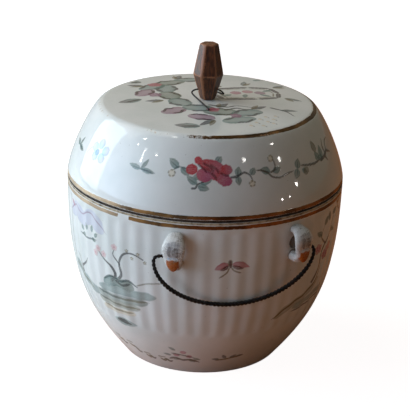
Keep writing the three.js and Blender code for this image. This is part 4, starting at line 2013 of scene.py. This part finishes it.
    def bank(self) -> None:
        """A flowering bank with a leaning branch, right of the front loops."""
        self.start((45, 92))
        branch = [(40, 70), (43.6, 80), (44, 90), (48.6, 100), (53, 112)]
        self.line(branch, 2, Tint.UMBER, Brush.TWIG)
        self.line([(46, 96), (42, 102.6), (44.4, 109)], 1.2, Tint.INK, Brush.TWIG)
        spots = ((44.4, 109, 60), (48.4, 111, 100), (51.6, 113.6, 30), (42.6, 103, 150), (50, 104, -20))
        self.leaves([(*spot, 7.4, 4) for spot in spots])
        for spot in ((40.8, 94), (47.2, 87), (50, 91.4)):
            self.petals(spot, 30, (1.5, 2), (4, 3.4), Tint.PINK, tip=Tint.ROSE, strength=0.7)
        self.start((34, 62))
        slope = [(20, 49.6), (28, 57), (38, 62.4), (46, 71)]
        self.line(slope, 6, Tint.MOSS, Brush.WASH, strength=0.5)
        self.line([(18.6, 49.4), (28, 58.2), (37.8, 63.6), (43.6, 71.6), (45.4, 82)], 1.4, Tint.OLIVE)
        self.line([(30, 54), (40, 57), (52, 62)], 5, Tint.TEAL, Brush.WASH, strength=0.5)
        self.line([(30, 51), (42, 53.4), (54, 58.6)], 1.3, Tint.DEEP_TEAL, strength=0.7)
        self.start((58, 116))
        self.line([(55, 122), (57, 118), (61, 112)], 1.8, Tint.UMBER, Brush.TWIG)
        self.leaves([(56, 119, 20, 8, 3.4)], Tint.DEEP_TEAL)

    def paint(self) -> None:
        """Paints one half of the pot."""
        self.butterfly()
        self.far_hill()
        self.plum()
        self.shore()
        self.floating_leaf_and_loop_shade()
        self.ground()
        self.bank()


class TopPainting:
    """The garden on the lid's dome: rocks, blossoms, leaves and a tray of fruit."""

    def __init__(self, top: LidTop) -> None:
        """Starts the layer."""
        self.layer = EnamelLayer("lid_top_enamel", top, 0.5)

    def rock(self, rocks: Motif, number: int, spot: Point, size: Point, angle: float, tint: Tint) -> None:
        """Paints one rock as a wash with two broken outlines.

        Args:
            rocks: The motif that it belongs to.
            number: Which of the rocks it is.
            spot: Its middle.
            size: Its length and width.
            angle: How far it is turned, in degrees.
            tint: Its colour.
        """
        (x, y), (length, width), turn = spot, size, radians(angle)
        dx, dy = cos(turn) * length / 2, sin(turn) * length / 2
        rocks.dab(spot, angle, length, width, tint, strength=0.74, rim=0.4)
        for side, start in ((1, 0.1), (-1, 0.35)):
            edge = []
            for share in np.linspace(start, start + 0.55, 5):
                bend = side * width * 0.44 * sin(np.pi * share)
                bend += 0.9 * sin(number * 2.1 + share * 16)
                along = 2 * share - 1
                edge.append((x + dx * along - sin(turn) * bend, y + dy * along + cos(turn) * bend))
            rocks.add(Brush.LINE, edge, 1.8, Tint.INK if number % 2 else Tint.SLATE, strength=0.85)

    def rockery(self) -> Motif:
        """Garden rocks, with blossoms and leaves between them."""
        rocks = Motif((0, 0))
        for number, rock in enumerate((
            ((-31, 36), (22, 13), 30, Tint.TEAL),
            ((-17, 45), (24, 13), 12, Tint.LEAF),
            ((-1, 51), (22, 12), -8, Tint.TEAL),
            ((-39, 23), (19, 12), 48, Tint.MAUVE),
            ((-22, 29), (20, 15), 70, Tint.TEAL),
            ((-24, 12), (20, 15), 100, Tint.LEAF),
            ((-20, -4), (19, 15), 110, Tint.TEAL),
            ((-28, -21), (19, 12), 20, Tint.MAUVE),
            ((-11, -19), (22, 14), -25, Tint.TEAL),
            ((2, -29), (24, 14), -12, Tint.LEAF),
            ((19, -33), (22, 13), 8, Tint.TEAL),
            ((-13, -37), (19, 11), -30, Tint.MAUVE),
            ((10, -46), (24, 12), 10, Tint.TEAL),
        )):
            self.rock(rocks, number, *rock)
        for root, angle, length in (
            ((-36, 40), 150, 13),
            ((-10, 55), 60, 12),
            ((-30, 2), 175, 13),
            ((-6, -44), 215, 15),
            ((24, -26), 25, 13),
            ((2, -20), 40, 12),
        ):
            rocks.leaf(root, angle, length, 5.0, Tint.DEEP_TEAL, strength=0.8, tip=Tint.SLATE)
            rocks.leaf(root, angle + 26, length * 0.8, 3.4, Tint.OLIVE, strength=0.75)
        for spot, size, tint in (
            ((-28, 42), 5.4, Tint.ROSE),
            ((-33, 16), 5.0, Tint.MAUVE),
            ((-2, -24), 4.6, Tint.ROSE),
            ((10, -38), 4.2, Tint.MAUVE),
        ):
            for angle in range(10, 370, 72):
                rocks.leaf(spot, angle, size, size * 0.85, tint, brush=Brush.PETAL, strength=0.85)
        rocks.add(Brush.TWIG, [(-2, -14), (8, -20), (16, -18), (26, -23)], 1.9, Tint.INK)
        rocks.add(Brush.TWIG, [(6, -26), (14, -23), (20, -26), (30, -25)], 1.9, Tint.INK)
        return rocks

    def stand(self) -> Motif:
        """A round-cornered tray with fruit and leaves."""
        stand = Motif((31, 10))
        rim = [(-20, -12), (4, -14), (19, -11), (22, 0), (19, 12), (4, 15), (-20, 13), (-24, 0)]
        for start, end in zip(rim, rim[1:] + rim[:1]):
            stand.add(Brush.LINE, [start, end], 3.2, Tint.SLATE, strength=0.9)
            inner = [(x * 0.84, y * 0.8) for x, y in (start, end)]
            stand.add(Brush.LINE, inner, 1.0, Tint.OLIVE, strength=0.7)
        for spot, tint in (((-8, 2), Tint.PINK), ((1, 4), Tint.ROSE), ((9, 1), Tint.MAUVE)):
            stand.dab(spot, 0, 8, 7.4, tint, strength=0.66)
        for root, angle in (((-12, -2), 200), ((-2, -2), 250), ((8, -3), -40), ((12, 4), 30)):
            stand.leaf(root, angle, 9, 3.6, Tint.TEAL, strength=0.75)
        outer = (((-14, 18), 150), ((2, 20), 70), ((22, 14), 30), ((23, -12), -35), ((-20, 20), 110))
        for root, angle in outer:
            stand.leaf(root, angle, 13, 4.2, Tint.DEEP_TEAL, strength=0.72)
            stand.leaf(root, angle - 28, 10, 3.4, Tint.OLIVE, strength=0.7)
        return stand

    def scatter(self) -> Motif:
        """Large leaves, a twig and a patch of seeds round the edge."""
        loose = Motif((0, 0))
        for root, angle in (((-44, 8), 190), ((-36, 50), 140), ((-18, -54), 160)):
            loose.leaf(root, angle, 17, 9.0, Tint.TEAL, strength=0.7, tip=Tint.SLATE)
            loose.leaf(root, angle + 8, 13, 3.0, Tint.INK, strength=0.7)
        loose.add(Brush.TWIG, [(38, -24), (46, -32), (49, -41)], 1.8, Tint.INK)
        loose.leaf((43, -29), -10, 12, 4.2, Tint.DEEP_TEAL, strength=0.75)
        loose.leaf((44, 44), 24, 15, 4.4, Tint.TEAL, strength=0.7)
        spots = [(24, -46), (29, -42), (33, -47), (36, -41), (28, -51)]
        spots += [(20, -52), (15, -57), (23, -58), (31, -54)]
        for away, size, tint, strength in ((0, 2.6, Tint.SAND, 0.7), (1.6, 1.3, Tint.UMBER, 0.8)):
            for x, y in spots:
                loose.dab((x + away, y - away), 0, size, size, tint, strength=strength)
        return loose

    def build(self, material: Material) -> Object:
        """Paints the whole dome.

        Args:
            material: The enamel.

        Returns:
            The painting as one piece.
        """
        for motif in (self.rockery(), self.stand(), self.scatter()):
            self.layer.lay(motif)
        return self.layer.build(material)


@dataclass(frozen=True)
class Studio:
    """The camera, the floor, the room's glow and the lamps.

    Attributes:
        lens: The camera's lens in mm.
        eye: Where the camera stands.
        aim: What it looks at.
        roll: How far it is tilted, in degrees.
        window: The window's direction from the pot: right, back and up as the camera sees them.
        window_power: Its lamps' strength.
        spots: The small lamps that only the glaze mirrors: degrees to the right of the camera,
            degrees up, and widths in metres.
        room: The room's dimmest light.
        glows: What the room's sides add: the direction, how narrow it is, and its light. They are the
            window's daylight, its haze, the room's far side and the wall behind.
    """

    lens: float = 119.07
    eye: Triple = (-0.2181, -0.8579, 0.4451)
    aim: Triple = (0.00058, -0.00015, 0.09985)
    roll: float = 1.8
    window: Triple = (-0.915, 0.291, 0.282)
    window_power: float = 6.3
    spots: tuple[Triple, ...] = (
        (-71, 41, 0.08),
        (-72, 33, 0.05),
        (-49, 34, 0.08),
        (-54, 65, 0.12),
        (38, 35, 0.10),
        (111, 60, 0.09),
        (74, 37, 0.07),
        (72, 26, 0.07),
        (81, 11, 0.07),
        (72, 7, 0.045),
        (64, 7, 0.04),
    )
    room: Triple = (0.033, 0.023, 0.014)
    glows: tuple[tuple[Triple, float, Triple], ...] = (
        ((-0.975, -0.21, 0.06), 6.0, (1.46, 2.45, 3.9)),
        ((-0.975, -0.21, 0.06), 3.8, (1.27, 1.16, 0.9)),
        ((0.97, 0.2, 0.35), 3.0, (0.185, 0.22, 0.195)),
        ((-0.3, 0.9, 0.35), 4.0, (0.34, 0.28, 0.2)),
    )

    def towards(self, direction: Sequence[float]) -> Vector:
        """Turns right, back and up, as the camera sees them, into a direction of length 1."""
        return Matrix.Rotation(radians(FRONT_TURN), 3, "Z") @ Vector(direction).normalized()

    def camera(self) -> None:
        """Adds the camera."""
        data = bpy.data.cameras.new("camera")
        data.lens = self.lens
        data.sensor_width = 36
        data.sensor_fit = "HORIZONTAL"
        camera = bpy.data.objects.new("camera", data)
        look = (Vector(self.aim) - Vector(self.eye)).to_track_quat("-Z", "Y").to_matrix().to_4x4()
        roll = Matrix.Rotation(radians(self.roll), 4, "Z")
        camera.matrix_world = Matrix.Translation(self.eye) @ look @ roll
        bpy.context.scene.collection.objects.link(camera)
        bpy.context.scene.camera = camera

    def floor(self) -> None:
        """Adds a pale floor that reaches past the picture on every side."""
        half = 20.0
        points = np.array([(-half, -half, 0), (half, -half, 0), (half, half, 0), (-half, half, 0)])
        floor = new_object("floor", points, [(0, 1, 2, 3)])
        material, shader, surface = new_material("floor")
        path = shader.node("ShaderNodeLightPath")
        seen = shader.sum("MAXIMUM", path.outputs["Is Camera Ray"], path.outputs["Is Glossy Ray"])
        seen = shader.sum("MAXIMUM", seen, path.outputs["Is Transmission Ray"])
        dark = shader.node("ShaderNodeBsdfDiffuse", {"Color": self.wood(shader)})
        pale = shader.node("ShaderNodeBsdfDiffuse", {"Color": (0.4, 0.4, 0.4)})
        lift = shader.node("ShaderNodeEmission", {"Color": (1, 1, 1), "Strength": 0.95})
        lit = shader.node("ShaderNodeAddShader", {0: pale.outputs[0], 1: lift.outputs[0]})
        both = shader.node("ShaderNodeMixShader", {0: seen, 1: dark.outputs[0], 2: lit.outputs[0]})
        shader.feed(shader.tree.nodes["Material Output"].inputs["Surface"], both.outputs[0])
        shader.tree.nodes.remove(surface)
        finished(floor, material)

    def wood(self, shader: Shader) -> Socket:
        """The table's colour: brown, painted paler on the side towards the window, where it stands in for the
        daylight falling there: painted light.
        """
        side = Matrix.Rotation(radians(FRONT_TURN), 3, "Z") @ Vector((-1.0, 0.1, 0.0))
        along = shader.facing(shader.node("ShaderNodeTexCoord").outputs["Object"], side)
        return shader.blend(shader.step(along, -0.02, 0.16), linear(180, 104, 44), linear(226, 226, 224))

    def table(self) -> None:
        """Adds the brown table that the glaze mirrors, out of the camera's sight."""
        sides = 48
        points = np.vstack([ring(radius, 0.1, around(sides)) for radius in (FOOT - 3, 18000)])
        material, shader, surface = new_material("table")
        shader.dress(surface, {"Base Color": self.wood(shader), "Roughness": 0.6})
        table = finished(new_object("table", points, grid_faces(2, sides, True)), material)
        table.visible_camera = False
        table.visible_shadow = False

    def world(self) -> None:
        """Fills the room with daylight from the left that fades to a dim brown on the right."""
        world = bpy.data.worlds.new("room")
        world.use_nodes = True
        bpy.context.scene.world = world
        shader = Shader(world.node_tree)
        direction = shader.node("ShaderNodeTexCoord").outputs["Generated"]
        total: object = self.room
        for towards, narrow, light in self.glows:
            facing = shader.facing(direction, self.towards(towards))
            share = shader.sum("POWER", shader.sum("MAXIMUM", facing, 0.0), narrow)
            total = shader.blend(1.0, total, shader.blend(share, (0, 0, 0), light), "ADD")
        shader.dress(world.node_tree.nodes["Background"], {"Color": total, "Strength": 1.0})

    def lamp(self, name: str, side: Triple, away: float, size: Point, power: float, colour: Triple) -> Object:
        """Adds an area lamp that faces the pot.

        Args:
            name: Its name.
            side: Its direction: right, back and up as the camera sees them.
            away: Its distance in metres.
            size: Its width and height in metres.
            power: Its strength in watts.
            colour: Its linear colour.

        Returns:
            The lamp.
        """
        data = bpy.data.lights.new(name, "AREA")
        data.shape = "ELLIPSE" if size[0] == size[1] and size[0] < 0.2 else "RECTANGLE"
        data.size, data.size_y = size
        data.energy = power
        data.color = colour
        direction = self.towards(side)
        facing = direction.to_track_quat("Z", "Y").to_matrix().to_4x4()
        lamp = bpy.data.objects.new(name, data)
        lamp.matrix_world = Matrix.Translation(direction * away + Vector((0, 0, 0.1))) @ facing
        bpy.context.scene.collection.objects.link(lamp)
        return lamp

    def build(self) -> None:
        """Sets the whole stage."""
        bpy.context.scene.view_settings.view_transform = "Standard"
        self.camera()
        self.floor()
        self.world()
        self.table()
        self.lamp("window", self.window, 1.15, (0.62, 0.8), self.window_power, (0.78, 0.93, 1.0))
        self.lamp("ceiling", (-0.7, 0.2, 1.0), 1.6, (1.2, 1.2), 6.6, (1.0, 0.93, 0.82))
        self.lamp("window slit", (-0.764, -0.413, 0.495), 2.0, (0.04, 0.3), 0.7, (1.0, 1.0, 1.0))
        for number, (turn, rise, size) in enumerate(self.spots):
            turn, rise = radians(turn), radians(rise)
            side = (sin(turn) * cos(rise), -cos(turn) * cos(rise), sin(rise))
            power = 0.22 + 30 * size**2
            spot = self.lamp(f"spot {number}", side, 2.0, (size, size), power, (1.0, 0.97, 0.93))
            spot.visible_diffuse = False


def keep(piece: Object, node: str, body: str, slot: str, whole: bool = True) -> None:
    """Attaches a piece to the body that it moves with, hides the CAD node whose place it takes, and reports
    it.

    Args:
        piece: The piece.
        node: The CAD node.
        body: The body that it moves with.
        slot: Its finish; not used.
        whole: True where it takes the node's place.
    """
    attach(piece, body)
    if whole:
        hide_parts(node)
    LOG.info("%s: %d points on %s", piece.name, len(piece.data.vertices), body)


def main() -> None:
    """Builds every piece and the stage."""
    logging.basicConfig(level=logging.INFO, format="%(message)s")
    groups = Groups()
    glaze, gilt, enamel = (kind().build(groups) for kind in (PorcelainFinish, GiltFinish, EnamelFinish))
    slip, wood, iron = (kind().build(groups) for kind in (SlipFinish, WoodFinish, IronFinish))
    biscuit = BiscuitFinish().build()
    # Dark grime on the bare seats, which also stands in for the shade in the seam between lid and pot.
    grime_and_shade = BiscuitFinish("seam grime and shade", linear(70, 54, 40), linear(24, 16, 11)).build()
    stain = BiscuitFinish("stained edge", linear(186, 168, 140), linear(104, 84, 62)).build()
    body, lid, knob = PotBody(), Lid(), WoodenKnob()
    keep(body.build(glaze, biscuit, grime_and_shade), "pot_body", "pot", "porcelain")
    keep(lid.build(glaze, biscuit, grime_and_shade), "lid", "lid", "porcelain")
    keep(knob.build(wood), "knob", "lid", "walnut")
    keep(TieWire(lid, knob).build(iron), "knob_tie_wire", "lid", "iron")
    for name, turn, grain in (
        ("front_left_lug", -LUG_TURN, 1.3),
        ("front_right_lug", LUG_TURN, 2.6),
        ("back_right_lug", 180 - LUG_TURN, 4.1),
        ("back_left_lug", 180 + LUG_TURN, 5.7),
    ):
        keep(DuckHeadLug(name, turn, grain).build(slip), name, "pot", "slip")
    for name, turn in (("front_bail", 0), ("back_bail", 180)):
        keep(TwistedBail(name, turn).build(iron), name, name, "iron")
    outer = [(body.wall.profile.radius(height), height) for height in np.linspace(0, RIM, 200)]
    on_pot, on_lid = ("pot_body", "pot"), ("lid", "lid")
    notch, rubbed = [(-47.0, 2.4, 0.9)], [(-84.0, 66.0, 0.62)]
    for place, finish, name, chain, low, high, gaps, seed in (
        (on_pot, gilt, "mouth_gilding", outer, RIM - 5.3, RIM - 2.2, notch, 1.7),
        (on_lid, gilt, "lid_edge_gilding", lid.outside(), LID_EDGE + 1.0, LID_EDGE + 4.0, [], 2.9),
        (on_pot, stain, "mouth_stain", outer, RIM - 2.0, RIM - 0.5, [], 3.8),
        (on_lid, gilt, "lid_ring_gilding", lid.outside(), RING_HEIGHT - 1.9, RING_HEIGHT - 0.1, rubbed, 4.4),
    ):
        keep(GiltBand(name, chain, low, high, gaps, seed).build(finish), *place, "porcelain", whole=False)
    for painting, place in (
        (LidPainting("lid_shoulder_enamel", lid.shoulder, 0.45), on_lid),
        (TopPainting(lid.top), on_lid),
        (PotPainting("pot_enamel", body.wall, 0.45), on_pot),
    ):
        keep(painting.build(enamel), *place, "porcelain", whole=False)
    Studio().build()


if __name__ == "__main__":
    main()
